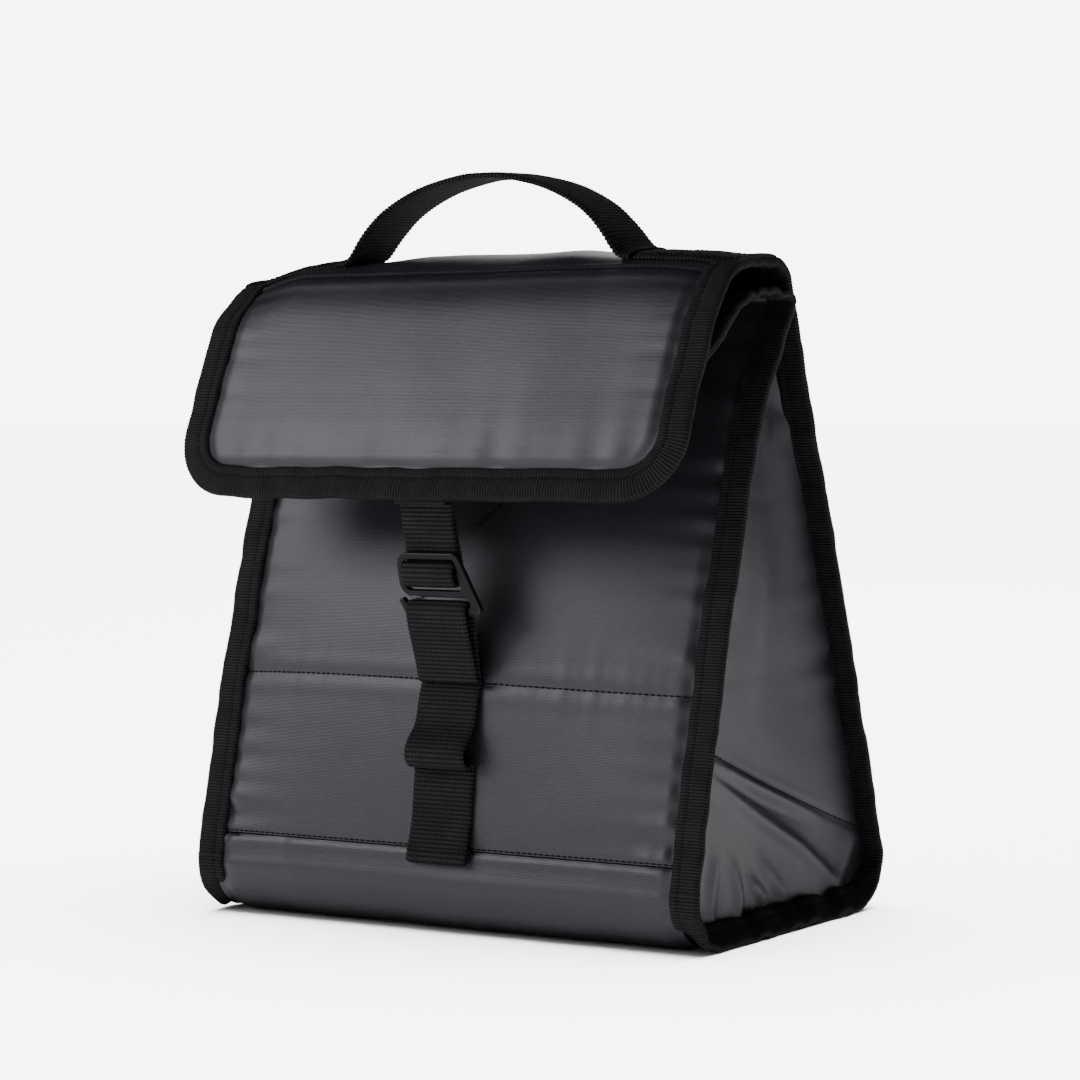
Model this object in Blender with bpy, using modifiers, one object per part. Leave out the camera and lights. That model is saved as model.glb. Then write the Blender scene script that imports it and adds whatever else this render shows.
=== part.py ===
"""Roll-top insulated lunch cooler, built as separate panels, padding, liner, webbing and hardware.

Frame: origin at the centre of the base, +X to the right, +Y to the back, +Z up, metres.
Every fabric layer is one sheet that follows the bag's side profile at its own depth.
"""
import math

import bmesh
import bpy
from mathutils import Matrix

# Driving dimensions, in metres
BAG_WIDTH = 0.216           # over the bound side seams
BASE_DEPTH = 0.138
BASE_RADIUS = 0.018         # rounding of the front and back base edges
FRONT_TOP = 0.214           # height where the front wall turns into the roll
BACK_TOP = 0.222            # height of the back fold, on the roll's hinge
LOWER_STITCH = 0.030        # height where the wall panels join the base panel
FRONT_CROWN = 0.007         # how far the padded front wall bulges
FLAP_CROWN = 0.005
GUSSET_DEPTH = 0.005        # how far the side walls draw inwards
CORNER_TOP = 0.024          # above this the walls are clear of the rounded base edges

BINDING_WIDTH = 0.011
BINDING_THICK = 0.0026
SHELL_THICK = 0.001
FOAM_THICK = 0.005
FLAP_FOAM_THICK = 0.003
LINER_THICK = 0.0008
BOARD_THICK = 0.0015
GAP = 0.0003                # clearance between neighbouring pieces
FOLD_GAP = 0.0012           # clearance where a sheet is split at a fold

WEBBING_WIDTH = 0.025
WEBBING_THICK = 0.0013
STRAP_WIDTH = 0.0215        # the closure strap, narrow enough for the hook's window
STRAP_X = 0.0015            # centre line of the closure webbing

FLAP_RADIUS = 0.024
FOAM_TOP = 0.172
GUSSET_FOAM_TOP = 0.150
GUSSET_TOP = 0.206
LINER_TOP = 0.200
SIDE_LINER_TOP = 0.185
PADDING_FOOT = 0.026        # lower edge of the front and back foam
FLOOR_HALF_DEPTH = 0.043    # the flat part of the floor
FLOOR_HALF_WIDTH = 0.090

HALF_WIDTH = BAG_WIDTH / 2
PANEL_HALF = HALF_WIDTH - BINDING_WIDTH - GAP
SIDE_SEAM = 0.1005          # outer face of the side walls
LINER_HALF = PANEL_HALF - 0.0032

SHELL_DEPTH = SHELL_THICK / 2
BINDING_DEPTH = BINDING_THICK / 2
FOAM_DEPTH = SHELL_THICK + GAP + FOAM_THICK / 2
LINER_DEPTH = SHELL_THICK + FOAM_THICK + 2 * GAP + LINER_THICK / 2
FLOOR_DEPTH = LINER_DEPTH + BOARD_THICK + GAP

# The roll and flap lie on one profile, from the back fold over the top and down in front.
# Points are (y, z) of the outer face; the flap begins at its split point.
TOP_PROFILE = [(0.0049, 0.2226), (0.0038, 0.2310), (-0.0030, 0.2358), (-0.0180, 0.2366), (-0.0330, 0.2338),
               (-0.0440, 0.2230), (-0.0520, 0.2080), (-0.0605, 0.1890), (-0.0670, 0.1735), (-0.0733, 0.1540)]
TOP_SPLIT = 4
# The front wall's end, folded in under the roll and the flap, as (y, z) of its lower face
MOUTH_PROFILE = [(-0.0045, 0.2175), (-0.0035, 0.2215), (-0.0120, 0.2235), (-0.0270, 0.2210),
                 (-0.0375, 0.2125), (-0.0460, 0.1995), (-0.0530, 0.1840)]
MOUTH_SPLIT = 3
CURVE_STEPS = 4             # straight pieces between two points of a profile
ROLL_AXIS = (0.0, 0.0049, 0.22225)
FLAP_AXIS = (0.0, -0.03315, 0.2337)

# Handle: flat webbing sewn along the roll's top, with a low arch between its feet
HANDLE_Y = -0.0180
HANDLE_FOOT_X = 0.060
HANDLE_FOOT_Z = 0.2382
HANDLE_LEG_POINTS = 7       # points of the arch that belong to each twisting leg
HANDLE_ARCH = [(0.0600, 0.2396), (0.0520, 0.2480), (0.0420, 0.2555), (0.0270, 0.2620), (0.0100, 0.2660)]

# Closure: the strap, hook and hooked loop lie on one taut line that leans forward
HOOK_BAR = (STRAP_X, -0.0655, 0.1268)
STRAP_LEAN = math.radians(12.5)
STRAP_AXIS = (STRAP_X, -0.0709, 0.1515)
HOOK_THICK = 0.0024
HOOK_SHIFT = 0.0012         # the hooked loop sits this far from the hook's open tip side
STITCH_ROWS = (0.0575, 0.0870)


def front_y(z):
    """Outer face of the front wall at its side edges."""
    return -BASE_DEPTH / 2 + 0.2 * z + 0.44 * z * z


def back_y(z):
    """Outer face of the back wall."""
    return BASE_DEPTH / 2 - 0.262 * z - 0.12 * z * z


def front_slope(z):
    return 0.2 + 0.88 * z


def back_slope(z):
    return -0.262 - 0.24 * z


def crown(x, z):
    """Outward bulge of the front wall, nil at its edges, its foot and its top."""
    across = max(0.0, 1.0 - (x / PANEL_HALF) ** 2)
    foot = LOWER_STITCH + 0.002
    up = max(0.0, min(1.0, (z - foot) / (FRONT_TOP - foot)))
    return FRONT_CROWN * across * math.sin(math.pi * up)


def spread(low, high, steps):
    return [low + (high - low) * i / steps for i in range(steps + 1)]


def wall_path(is_front, depth, z_low, z_high, steps=9):
    """Points of a wall layer's middle, bottom to top."""
    path = []
    for z in spread(z_low, z_high, steps):
        slope = front_slope(z) if is_front else back_slope(z)
        y = front_y(z) if is_front else back_y(z)
        length = math.hypot(1.0, slope)
        inward = 1.0 if is_front else -1.0
        path.append((y + inward * depth / length, z - inward * slope * depth / length))
    return path


def corner_arc(is_front, depth, steps=6):
    """The base edge's rounding, from the wall down to the floor."""
    slope = front_slope(0.0) if is_front else back_slope(0.0)
    lean = math.atan(abs(slope))
    reach = BASE_RADIUS * (math.tan(lean) + 1.0 / math.cos(lean))
    side = -1.0 if is_front else 1.0
    centre_y = side * (BASE_DEPTH / 2 - reach)
    points = []
    for angle in spread(lean, -math.pi / 2, steps):
        radius = BASE_RADIUS - depth
        points.append((centre_y + side * radius * math.cos(angle), BASE_RADIUS + radius * math.sin(angle)))
    return points


def base_path(depth, z_end, steps=2):
    """A layer that wraps the base, from the front wall under the floor to the back wall."""
    front = wall_path(True, depth, CORNER_TOP, z_end, steps)[::-1]
    back = wall_path(False, depth, CORNER_TOP, z_end, steps)
    return front + corner_arc(True, depth) + corner_arc(False, depth)[::-1] + back


def smooth_path(points, steps=CURVE_STEPS):
    """Catmull-Rom curve through the points."""
    ends = [points[0]] + list(points) + [points[-1]]
    path = []
    for i in range(1, len(ends) - 2):
        p0, p1, p2, p3 = ends[i - 1:i + 3]
        for k in range(steps):
            t = k / steps
            path.append(tuple(
                0.5 * (2 * b + (c - a) * t + (2 * a - 5 * b + 4 * c - d) * t * t
                       + (3 * b - a - 3 * c + d) * t ** 3)
                for a, b, c, d in zip(p0, p1, p2, p3)))
    path.append(tuple(points[-1]))
    return path


def offset_path(path, depth):
    """Moves a path to the right-hand side of its direction of travel in the (y, z) plane."""
    moved = []
    for i, (y, z) in enumerate(path):
        before = path[max(i - 1, 0)]
        after = path[min(i + 1, len(path) - 1)]
        dy = after[0] - before[0]
        dz = after[1] - before[1]
        length = math.hypot(dy, dz)
        moved.append((y + depth * dz / length, z - depth * dy / length))
    return moved


def path_point(path, distance):
    """The point at a distance along a path."""
    left = distance
    for (y0, z0), (y1, z1) in zip(path, path[1:]):
        length = math.hypot(y1 - y0, z1 - z0)
        if left <= length:
            t = left / length
            return (y0 + (y1 - y0) * t, z0 + (z1 - z0) * t)
        left -= length
    return path[-1]


def path_length(path):
    return sum(math.hypot(b[0] - a[0], b[1] - a[1]) for a, b in zip(path, path[1:]))


def clear_objects():
    for obj in list(bpy.data.objects):
        bpy.data.objects.remove(obj, do_unlink=True)


def collection_named(name):
    group = bpy.data.collections.new(name)
    bpy.context.scene.collection.children.link(group)
    return group


def principled(name, color, roughness, metallic=0.0):
    material = bpy.data.materials.new(name)
    material.use_nodes = True
    shader = material.node_tree.nodes["Principled BSDF"]
    shader.inputs["Base Color"].default_value = (*color, 1.0)
    shader.inputs["Roughness"].default_value = roughness
    shader.inputs["Metallic"].default_value = metallic
    material.diffuse_color = (*color, 1.0)
    return material


clear_objects()
COOLER = collection_named("insulated_cooler_bag")
COATED_FABRIC = principled("coated_fabric", (0.085, 0.085, 0.095), 0.42)
BINDING_TAPE = principled("binding_tape", (0.010, 0.010, 0.011), 0.85)
WEBBING = principled("webbing", (0.012, 0.012, 0.013), 0.80)
FOAM = principled("foam", (0.80, 0.80, 0.78), 0.95)
LINER = principled("liner", (0.62, 0.63, 0.65), 0.35)
BOARD = principled("board", (0.10, 0.10, 0.10), 0.55)
GUNMETAL = principled("gunmetal", (0.030, 0.030, 0.032), 0.38, 0.9)


def add_object(name, mesh, material):
    obj = bpy.data.objects.new(name, mesh)
    obj.data.materials.append(material)
    COOLER.objects.link(obj)
    return obj


def pivot(name, place, parent=None):
    """An empty on a joint's axis; the pieces that move with the joint hang on it."""
    empty = bpy.data.objects.new(name, None)
    empty.empty_display_size = 0.01
    COOLER.objects.link(empty)
    empty.parent = parent
    empty.matrix_world = Matrix.Translation(place)
    bpy.context.view_layer.update()
    return empty


def hang(obj, empty):
    """Parents a piece to its joint's empty and keeps it where it is."""
    bpy.context.view_layer.update()
    placed = obj.matrix_world.copy()
    obj.parent = empty
    obj.matrix_parent_inverse = empty.matrix_world.inverted()
    obj.matrix_world = placed


def sheet(name, rows, thickness, material, closed=False):
    """A sheet through rows of points, given its thickness by Solidify."""
    mesh = bpy.data.meshes.new(name)
    bm = bmesh.new()
    grid = [[bm.verts.new(point) for point in row] for row in rows]
    pairs = list(zip(grid, grid[1:]))
    if closed:
        pairs.append((grid[-1], grid[0]))
    for row, following in pairs:
        for i in range(len(row) - 1):
            bm.faces.new((row[i], row[i + 1], following[i + 1], following[i]))
    bm.to_mesh(mesh)
    bm.free()
    obj = add_object(name, mesh, material)
    solid = obj.modifiers.new("Thickness", "SOLIDIFY")
    solid.thickness = thickness
    solid.offset = 0.0
    solid.use_even_offset = True
    obj.data.shade_flat()
    return obj


def strip(name, path, x_low, x_high, thickness, material, closed=False):
    """A flat strip of constant width that follows a (y, z) path."""
    rows = [[(x_low, y, z), (x_high, y, z)] for y, z in path]
    return sheet(name, rows, thickness, material, closed)


def panel(name, path, half_width, thickness, material, bulge=None, columns=8):
    """A wall layer across the bag, with the front wall's bulge where it is given."""
    rows = []
    for y, z in path:
        xs = spread(-half_width, half_width, columns if bulge else 1)
        rows.append([(x, y - (bulge(x, z) if bulge else 0.0), z) for x in xs])
    return sheet(name, rows, thickness, material)


def build_walls():
    """Outer fabric of the front, base and back, and the bound seams along both sides."""
    split = LOWER_STITCH + GAP
    panel("front_panel", wall_path(True, SHELL_DEPTH, split, FRONT_TOP), PANEL_HALF, SHELL_THICK,
          COATED_FABRIC, crown)
    back = wall_path(False, SHELL_DEPTH, split, BACK_TOP)
    panel("back_panel", back, PANEL_HALF, SHELL_THICK, COATED_FABRIC)
    panel("base_panel", base_path(SHELL_DEPTH, LOWER_STITCH - GAP), PANEL_HALF, SHELL_THICK, COATED_FABRIC)
    seam = base_path(BINDING_DEPTH, 0.100, 4)
    seam = wall_path(True, BINDING_DEPTH, 0.106, FRONT_TOP, 6)[::-1] + seam
    seam = seam + wall_path(False, BINDING_DEPTH, 0.106, BACK_TOP, 6)
    for side, sign in (("left", -1), ("right", 1)):
        low, high = sorted((sign * HALF_WIDTH, sign * (HALF_WIDTH - BINDING_WIDTH)))
        strip("side_binding_" + side, seam, low, high, BINDING_THICK, BINDING_TAPE)


def floor_strip(name, height, half_depth, thickness, material):
    """A flat layer on the bag's floor."""
    strip(name, [(-half_depth, height), (half_depth, height)], -FLOOR_HALF_WIDTH, FLOOR_HALF_WIDTH,
          thickness, material)


def build_padding():
    """Closed-cell foam and the base stiffener, between the outer fabric and the liner."""
    front = wall_path(True, FOAM_DEPTH, PADDING_FOOT, FOAM_TOP)
    back = wall_path(False, FOAM_DEPTH, PADDING_FOOT, FOAM_TOP)
    panel("front_foam", front, PANEL_HALF, FOAM_THICK, FOAM, crown)
    panel("back_foam", back, PANEL_HALF, FOAM_THICK, FOAM)
    floor_strip("base_foam", FOAM_DEPTH, FLOOR_HALF_DEPTH, FOAM_THICK, FOAM)
    board_z = SHELL_THICK + FOAM_THICK + 2 * GAP + BOARD_THICK / 2
    floor_strip("base_board", board_z, FLOOR_HALF_DEPTH, BOARD_THICK, BOARD)


def side_rows(depth, edge_inset, z_low, z_high, rows=10, columns=6):
    """Points of a side wall layer; every layer draws in by the same amount at one place."""
    grid = []
    front_edge = base_path(edge_inset, z_high, 8)
    back_edge = front_edge[::-1]
    for z in spread(z_low, z_high, rows):
        y_front = edge_at(front_edge, z)
        y_back = edge_at(back_edge, z)
        row = []
        for y in spread(y_front, y_back, columns):
            middle = (front_y(z) + back_y(z)) / 2
            half = (back_y(z) - front_y(z)) / 2
            inward = GUSSET_DEPTH * math.cos(math.pi / 2 * min(1.0, abs(y - middle) / half))
            row.append((SIDE_SEAM - depth - inward, y, z))
        grid.append(row)
    return grid


def edge_at(path, z):
    """The y where a path that comes down from its first point passes a height."""
    for (y0, z0), (y1, z1) in zip(path, path[1:]):
        if z1 <= z <= z0:
            return y0 + (y1 - y0) * (z0 - z) / max(z0 - z1, 1e-9)
    return path[0][0]


def build_sides():
    """The drawn-in side walls: outer fabric, foam and liner on each side."""
    behind_binding = BINDING_THICK + 3 * GAP
    behind_liner = LINER_DEPTH + LINER_THICK / 2 + FOLD_GAP
    layers = (
        ("gusset", SHELL_DEPTH, behind_binding, 0.0045, GUSSET_TOP, SHELL_THICK, COATED_FABRIC),
        ("gusset_foam", FOAM_DEPTH, behind_liner, 0.0115, GUSSET_FOAM_TOP, FOAM_THICK, FOAM),
        ("liner_side", LINER_DEPTH, behind_liner, 0.0115, SIDE_LINER_TOP, LINER_THICK, LINER),
    )
    for name, depth, inset, z_low, z_high, thickness, material in layers:
        rows = side_rows(depth, inset, z_low, z_high)
        for side, sign in (("left", -1), ("right", 1)):
            placed = [[(sign * x, y, z) for x, y, z in row] for row in rows]
            sheet(name + "_" + side, placed, thickness, material)


def build_liner():
    """Front, back and floor of the wipe-clean inner box."""
    for name, is_front in (("front", True), ("back", False)):
        path = wall_path(is_front, LINER_DEPTH, 0.034, LINER_TOP)
        panel("liner_" + name, path, LINER_HALF, LINER_THICK, LINER, crown if is_front else None)
    floor_strip("liner_floor", FLOOR_DEPTH, FLOOR_HALF_DEPTH + 0.001, LINER_THICK, LINER)


def flap_bulge(x, distance, length):
    """Forward bulge of the flap, growing from its fold to its lower edge."""
    across = max(0.0, 1.0 - (x / HALF_WIDTH) ** 2)
    return FLAP_CROWN * across * math.sin(math.pi / 2 * min(1.0, distance / length))


def flap_half_width(distance, length, inset):
    """Half the flap's width at a distance along it, with its rounded lower corners."""
    radius = FLAP_RADIUS - inset
    into_corner = distance - (length - FLAP_RADIUS)
    if into_corner <= 0.0:
        return HALF_WIDTH - inset
    return HALF_WIDTH - FLAP_RADIUS + math.sqrt(max(0.0, radius ** 2 - into_corner ** 2))


def flap_rows(depth, inset, steps=10, columns=8):
    """Points of a flap layer inside an inset from the flap's edge."""
    path = flap_layer(TOP_PROFILE, TOP_SPLIT, depth)
    length = path_length(flap_layer(TOP_PROFILE, TOP_SPLIT, 0.0))
    scale = path_length(path) / length
    straight = spread(0.0, length - FLAP_RADIUS, steps)
    radius = FLAP_RADIUS - inset
    rounded = [length - FLAP_RADIUS + radius * math.sin(a) for a in spread(0.0, math.radians(84), 5)[1:]]
    rows = []
    for distance in straight + rounded:
        half = flap_half_width(distance, length, inset)
        y, z = path_point(path, distance * scale)
        rows.append([(x, y - flap_bulge(x, distance, length), z) for x in spread(-half, half, columns)])
    return rows


def roll_layer(profile, split, depth, trim=0):
    """The part of a layer that belongs to the roll, up to its split."""
    return offset_path(smooth_path(profile), depth)[trim:split * CURVE_STEPS + 1]


def flap_layer(profile, split, depth):
    """The part of a layer that belongs to the flap, from a small gap after its split."""
    path = offset_path(smooth_path(profile), depth)[split * CURVE_STEPS:]
    return [path_point(path, FOLD_GAP)] + path[1:]


def build_roll():
    """The top strip of the roll with its padding, lining and bound ends."""
    foam_depth = -(SHELL_THICK + GAP + FLAP_FOAM_THICK / 2)
    lining_depth = -(SHELL_THICK + FLAP_FOAM_THICK + 2 * GAP + LINER_THICK / 2)
    layers = (
        ("roll_panel", -SHELL_DEPTH, 0, SHELL_THICK, COATED_FABRIC),
        ("roll_foam", foam_depth, 6, FLAP_FOAM_THICK, FOAM),
        ("roll_lining", lining_depth, 6, LINER_THICK, LINER),
    )
    for name, depth, trim, thickness, material in layers:
        panel(name, roll_layer(TOP_PROFILE, TOP_SPLIT, depth, trim), PANEL_HALF, thickness, material)
    mouth = roll_layer(MOUTH_PROFILE, MOUTH_SPLIT, SHELL_DEPTH)
    panel("mouth_panel_upper", mouth, PANEL_HALF, SHELL_THICK, COATED_FABRIC)
    edge = roll_layer(TOP_PROFILE, TOP_SPLIT, -BINDING_DEPTH)
    for side, sign in (("left", -1), ("right", 1)):
        low, high = sorted((sign * HALF_WIDTH, sign * (HALF_WIDTH - BINDING_WIDTH)))
        strip("roll_binding_" + side, edge, low, high, BINDING_THICK, BINDING_TAPE)
        strip("mouth_binding_upper_" + side, mouth, low, high, BINDING_THICK, BINDING_TAPE)


def flap_edge(distance_along, length, inset):
    """A point of the flap's U-shaped edge at an inset, as (x, distance down the flap)."""
    side = length - FLAP_RADIUS
    arc = FLAP_RADIUS * math.pi / 2
    bottom = 2 * (HALF_WIDTH - FLAP_RADIUS)
    total = 2 * side + 2 * arc + bottom
    mirrored = distance_along > total / 2
    along = total - distance_along if mirrored else distance_along
    if along <= side:
        x, down = HALF_WIDTH - inset, along
    elif along <= side + arc:
        angle = (along - side) / FLAP_RADIUS
        x = HALF_WIDTH - FLAP_RADIUS + (FLAP_RADIUS - inset) * math.cos(angle)
        down = side + (FLAP_RADIUS - inset) * math.sin(angle)
    else:
        x = HALF_WIDTH - FLAP_RADIUS - (along - side - arc)
        down = length - inset
    return (-x if mirrored else x), down


def build_flap():
    """The flap's outer fabric, padding, lining, bound edge and the folded mouth edge under it."""
    inner_edge = BINDING_WIDTH + GAP
    foam_depth = -(SHELL_THICK + GAP + FLAP_FOAM_THICK / 2)
    lining_depth = -(SHELL_THICK + FLAP_FOAM_THICK + 2 * GAP + LINER_THICK / 2)
    sheet("flap_panel", flap_rows(-SHELL_DEPTH, inner_edge), SHELL_THICK, COATED_FABRIC)
    sheet("flap_foam", flap_rows(foam_depth, inner_edge), FLAP_FOAM_THICK, FOAM)
    sheet("flap_lining", flap_rows(lining_depth, inner_edge), LINER_THICK, LINER)

    path = flap_layer(TOP_PROFILE, TOP_SPLIT, -BINDING_DEPTH)
    length = path_length(flap_layer(TOP_PROFILE, TOP_SPLIT, 0.0))
    scale = path_length(path) / length
    side = length - FLAP_RADIUS
    arc = FLAP_RADIUS * math.pi / 2
    half_bottom = HALF_WIDTH - FLAP_RADIUS
    marks = spread(0.0, side, 9) + spread(side, side + arc, 6)[1:]
    marks = marks + spread(side + arc, side + arc + half_bottom, 4)[1:]
    total = 2 * (side + arc + half_bottom)
    marks = marks + [total - mark for mark in marks[-2::-1]]
    rows = []
    for mark in marks:
        row = []
        for inset in (0.0, BINDING_WIDTH):
            x, down = flap_edge(mark, length, inset)
            y, z = path_point(path, down * scale)
            row.append((x, y - flap_bulge(x, down, length), z))
        rows.append(row)
    sheet("flap_binding", rows, BINDING_THICK, BINDING_TAPE)

    mouth = flap_layer(MOUTH_PROFILE, MOUTH_SPLIT, SHELL_DEPTH)
    panel("mouth_panel_lower", mouth, PANEL_HALF, SHELL_THICK, COATED_FABRIC)
    for name, sign in (("left", -1), ("right", 1)):
        low, high = sorted((sign * HALF_WIDTH, sign * (HALF_WIDTH - BINDING_WIDTH)))
        strip("mouth_binding_lower_" + name, mouth, low, high, BINDING_THICK, BINDING_TAPE)


def build_handle():
    """The carry handle: an arch of webbing, and its two feet sewn flat on the roll."""
    half = WEBBING_WIDTH / 2
    for side, sign in (("left", -1), ("right", 1)):
        low, high = sorted((sign * (HANDLE_FOOT_X + GAP), sign * (HALF_WIDTH - 0.002)))
        rows = [[(low, y, HANDLE_FOOT_Z), (high, y, HANDLE_FOOT_Z)]
                for y in (HANDLE_Y - half, HANDLE_Y + half)]
        sheet("handle_foot_" + side, rows, WEBBING_THICK, WEBBING)
    right = smooth_path(HANDLE_ARCH + [(0.0, 0.2668)], 3)
    leg = right[:HANDLE_LEG_POINTS]
    arch = [path_point(right[HANDLE_LEG_POINTS - 1:], GAP)] + right[HANDLE_LEG_POINTS:]
    arch = arch + [(-x, z) for x, z in arch[-2::-1]]
    for name, path in (("handle_arch", arch), ("handle_leg_right", leg),
                       ("handle_leg_left", [(-x, z) for x, z in leg])):
        rows = [[(x, -half, z - HANDLE_FOOT_Z), (x, half, z - HANDLE_FOOT_Z)] for x, z in path]
        piece = sheet(name, rows, WEBBING_THICK, WEBBING)
        piece.location = (0.0, HANDLE_Y, HANDLE_FOOT_Z)


def front_surface(z):
    """The outer face of the bulged front wall on the strap's line."""
    return front_y(z) - crown(STRAP_X, z)


def build_ladder():
    """The webbing ladder on the front: a flat foot, a slack loop and the loop that is hooked."""
    half = WEBBING_WIDTH / 2
    low, high = STRAP_X - half, STRAP_X + half
    stand_off = GAP + WEBBING_THICK / 2
    foot = [(front_surface(z) - stand_off, z) for z in spread(0.0255, STITCH_ROWS[0] - GAP, 6)]
    strip("ladder_foot", foot, low, high, WEBBING_THICK, WEBBING)
    slack = [(front_surface(z) - stand_off, z) for z in (STITCH_ROWS[0] + GAP, 0.0590)]
    bulge_y = front_surface(0.063)
    slack = slack + [(bulge_y - 0.0050, 0.0592), (bulge_y - 0.0074, 0.0612), (bulge_y - 0.0078, 0.0645),
                     (bulge_y - 0.0066, 0.0678)]
    slack = slack + [(front_surface(z) - stand_off - 0.0008 * (0.087 - z) / 0.012, z)
                     for z in spread(0.0735, STITCH_ROWS[1] - GAP, 3)]
    strip("ladder_slack_loop", slack, low, high, WEBBING_THICK, WEBBING)

    top = -0.0129 + 0.0015 + 0.0012
    bottom = -0.0385
    turn = 0.00255
    ring = [(-0.0010, bottom), (-0.0016, bottom + 0.010), (-turn, bottom + 0.020), (-turn, top - turn)]
    ring = ring + [(-turn * math.cos(a), top - turn + turn * math.sin(a))
                   for a in spread(0.0, math.pi, 6)[1:]]
    ring = ring + [(turn, bottom + 0.020), (0.0016, bottom + 0.010), (0.0010, bottom)]
    loop = strip("ladder_hooked_loop", ring, HOOK_SHIFT - half, HOOK_SHIFT + half, WEBBING_THICK, WEBBING,
                 closed=True)
    place_on_strap_line(loop)


def place_on_strap_line(obj):
    obj.location = HOOK_BAR
    obj.rotation_euler = (STRAP_LEAN, 0.0, 0.0)


def rounded_outline(corners, steps=4):
    """A closed outline through (x, y, radius) corners, each rounded by an arc."""
    outline = []
    count = len(corners)
    for i, (x, y, radius) in enumerate(corners):
        px, py, _ = corners[i - 1]
        nx, ny, _ = corners[(i + 1) % count]
        back = math.atan2(py - y, px - x)
        ahead = math.atan2(ny - y, nx - x)
        turn = (ahead - back + math.pi) % (2 * math.pi) - math.pi
        half = abs(turn) / 2
        reach = radius / math.tan(half)
        middle = back + turn / 2
        cx = x + radius / math.sin(half) * math.cos(middle)
        cy = y + radius / math.sin(half) * math.sin(middle)
        start = math.atan2(y + reach * math.sin(back) - cy, x + reach * math.cos(back) - cx)
        end = math.atan2(y + reach * math.sin(ahead) - cy, x + reach * math.cos(ahead) - cx)
        sweep = (end - start + math.pi) % (2 * math.pi) - math.pi
        outline += [(cx + radius * math.cos(start + sweep * t), cy + radius * math.sin(start + sweep * t))
                    for t in spread(0.0, 1.0, steps)]
    return outline


def build_hook():
    """The flat G-shaped hook: a window with a middle bar, and an open lower bar on its arm."""
    body = [(-0.0138, 0.0080, 0.0050), (0.0124, 0.0080, 0.0030), (0.0205, -0.0144, 0.0022),
            (-0.0130, -0.0144, 0.0022), (-0.0152, -0.0090, 0.0009), (-0.0130, -0.0086, 0.0008),
            (-0.0112, -0.0114, 0.0006), (0.0158, -0.0114, 0.0010), (0.0146, -0.0080, 0.0010),
            (-0.0042, -0.0080, 0.0003), (-0.0046, -0.0088, 0.0003), (-0.0084, -0.0088, 0.0003),
            (-0.0088, -0.0080, 0.0003), (-0.0138, -0.0080, 0.0050)]
    upper = [(-0.0114, 0.0012, 0.0004), (0.0116, 0.0012, 0.0004), (0.0110, 0.0056, 0.0010),
             (-0.0114, 0.0056, 0.0030)]
    lower = [(-0.0114, -0.0012, 0.0004), (-0.0114, -0.0056, 0.0030), (0.0126, -0.0056, 0.0010),
             (0.0116, -0.0012, 0.0004)]
    curve = bpy.data.curves.new("g_hook", "CURVE")
    curve.dimensions = "2D"
    curve.fill_mode = "BOTH"
    curve.extrude = HOOK_THICK / 2
    for corners in (body, upper, lower):
        points = rounded_outline(corners, 3)
        spline = curve.splines.new("POLY")
        spline.points.add(len(points) - 1)
        for point, (x, y) in zip(spline.points, points):
            point.co = (x, y, 0.0, 1.0)
        spline.use_cyclic_u = True
    hook = add_object("g_hook", curve, GUNMETAL)
    hook.location = HOOK_BAR
    hook.rotation_euler = (STRAP_LEAN + math.pi / 2, 0.0, 0.0)


def build_strap():
    """The closure strap: its anchor under the flap, its run, its turn round the bar and its tail."""
    half = STRAP_WIDTH / 2
    low, high = STRAP_X - half, STRAP_X + half
    under_lining = SHELL_THICK + FLAP_FOAM_THICK + LINER_THICK + 3 * GAP + WEBBING_THICK / 2
    under = flap_layer(TOP_PROFILE, TOP_SPLIT, -under_lining)
    length = path_length(under)
    anchor = []
    for distance in spread(length - 0.040, length - 0.002, 5):
        y, z = path_point(under, distance)
        anchor.append((y - flap_bulge(STRAP_X, distance, length) + GAP, z))
    strip("strap_anchor", anchor + [(STRAP_AXIS[1], STRAP_AXIS[2] + GAP)], low, high, WEBBING_THICK, WEBBING)

    run = [(0.0033, 0.0246), (0.0026, 0.0180), (0.0024, 0.0110)]
    turn = [(0.0024, 0.0106), (0.0024, 0.0066), (0.0016, 0.0038), (-0.0010, 0.0034), (-0.0024, 0.0012),
            (-0.0024, -0.0012), (-0.0010, -0.0034), (0.0022, -0.0034), (0.0044, 0.0000), (0.0044, 0.0106)]
    tail = [(0.0044, 0.0110), (0.0046, 0.0160), (0.0050, 0.0210)]
    for name, path in (("strap_run", run), ("strap_turn", smooth_path(turn, 2)), ("strap_tail", tail)):
        piece = strip(name, path, -half, half, WEBBING_THICK, WEBBING)
        place_on_strap_line(piece)


build_walls()
build_padding()
build_sides()
build_liner()
build_roll()
build_flap()
build_handle()
build_ladder()
build_hook()
build_strap()


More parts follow.
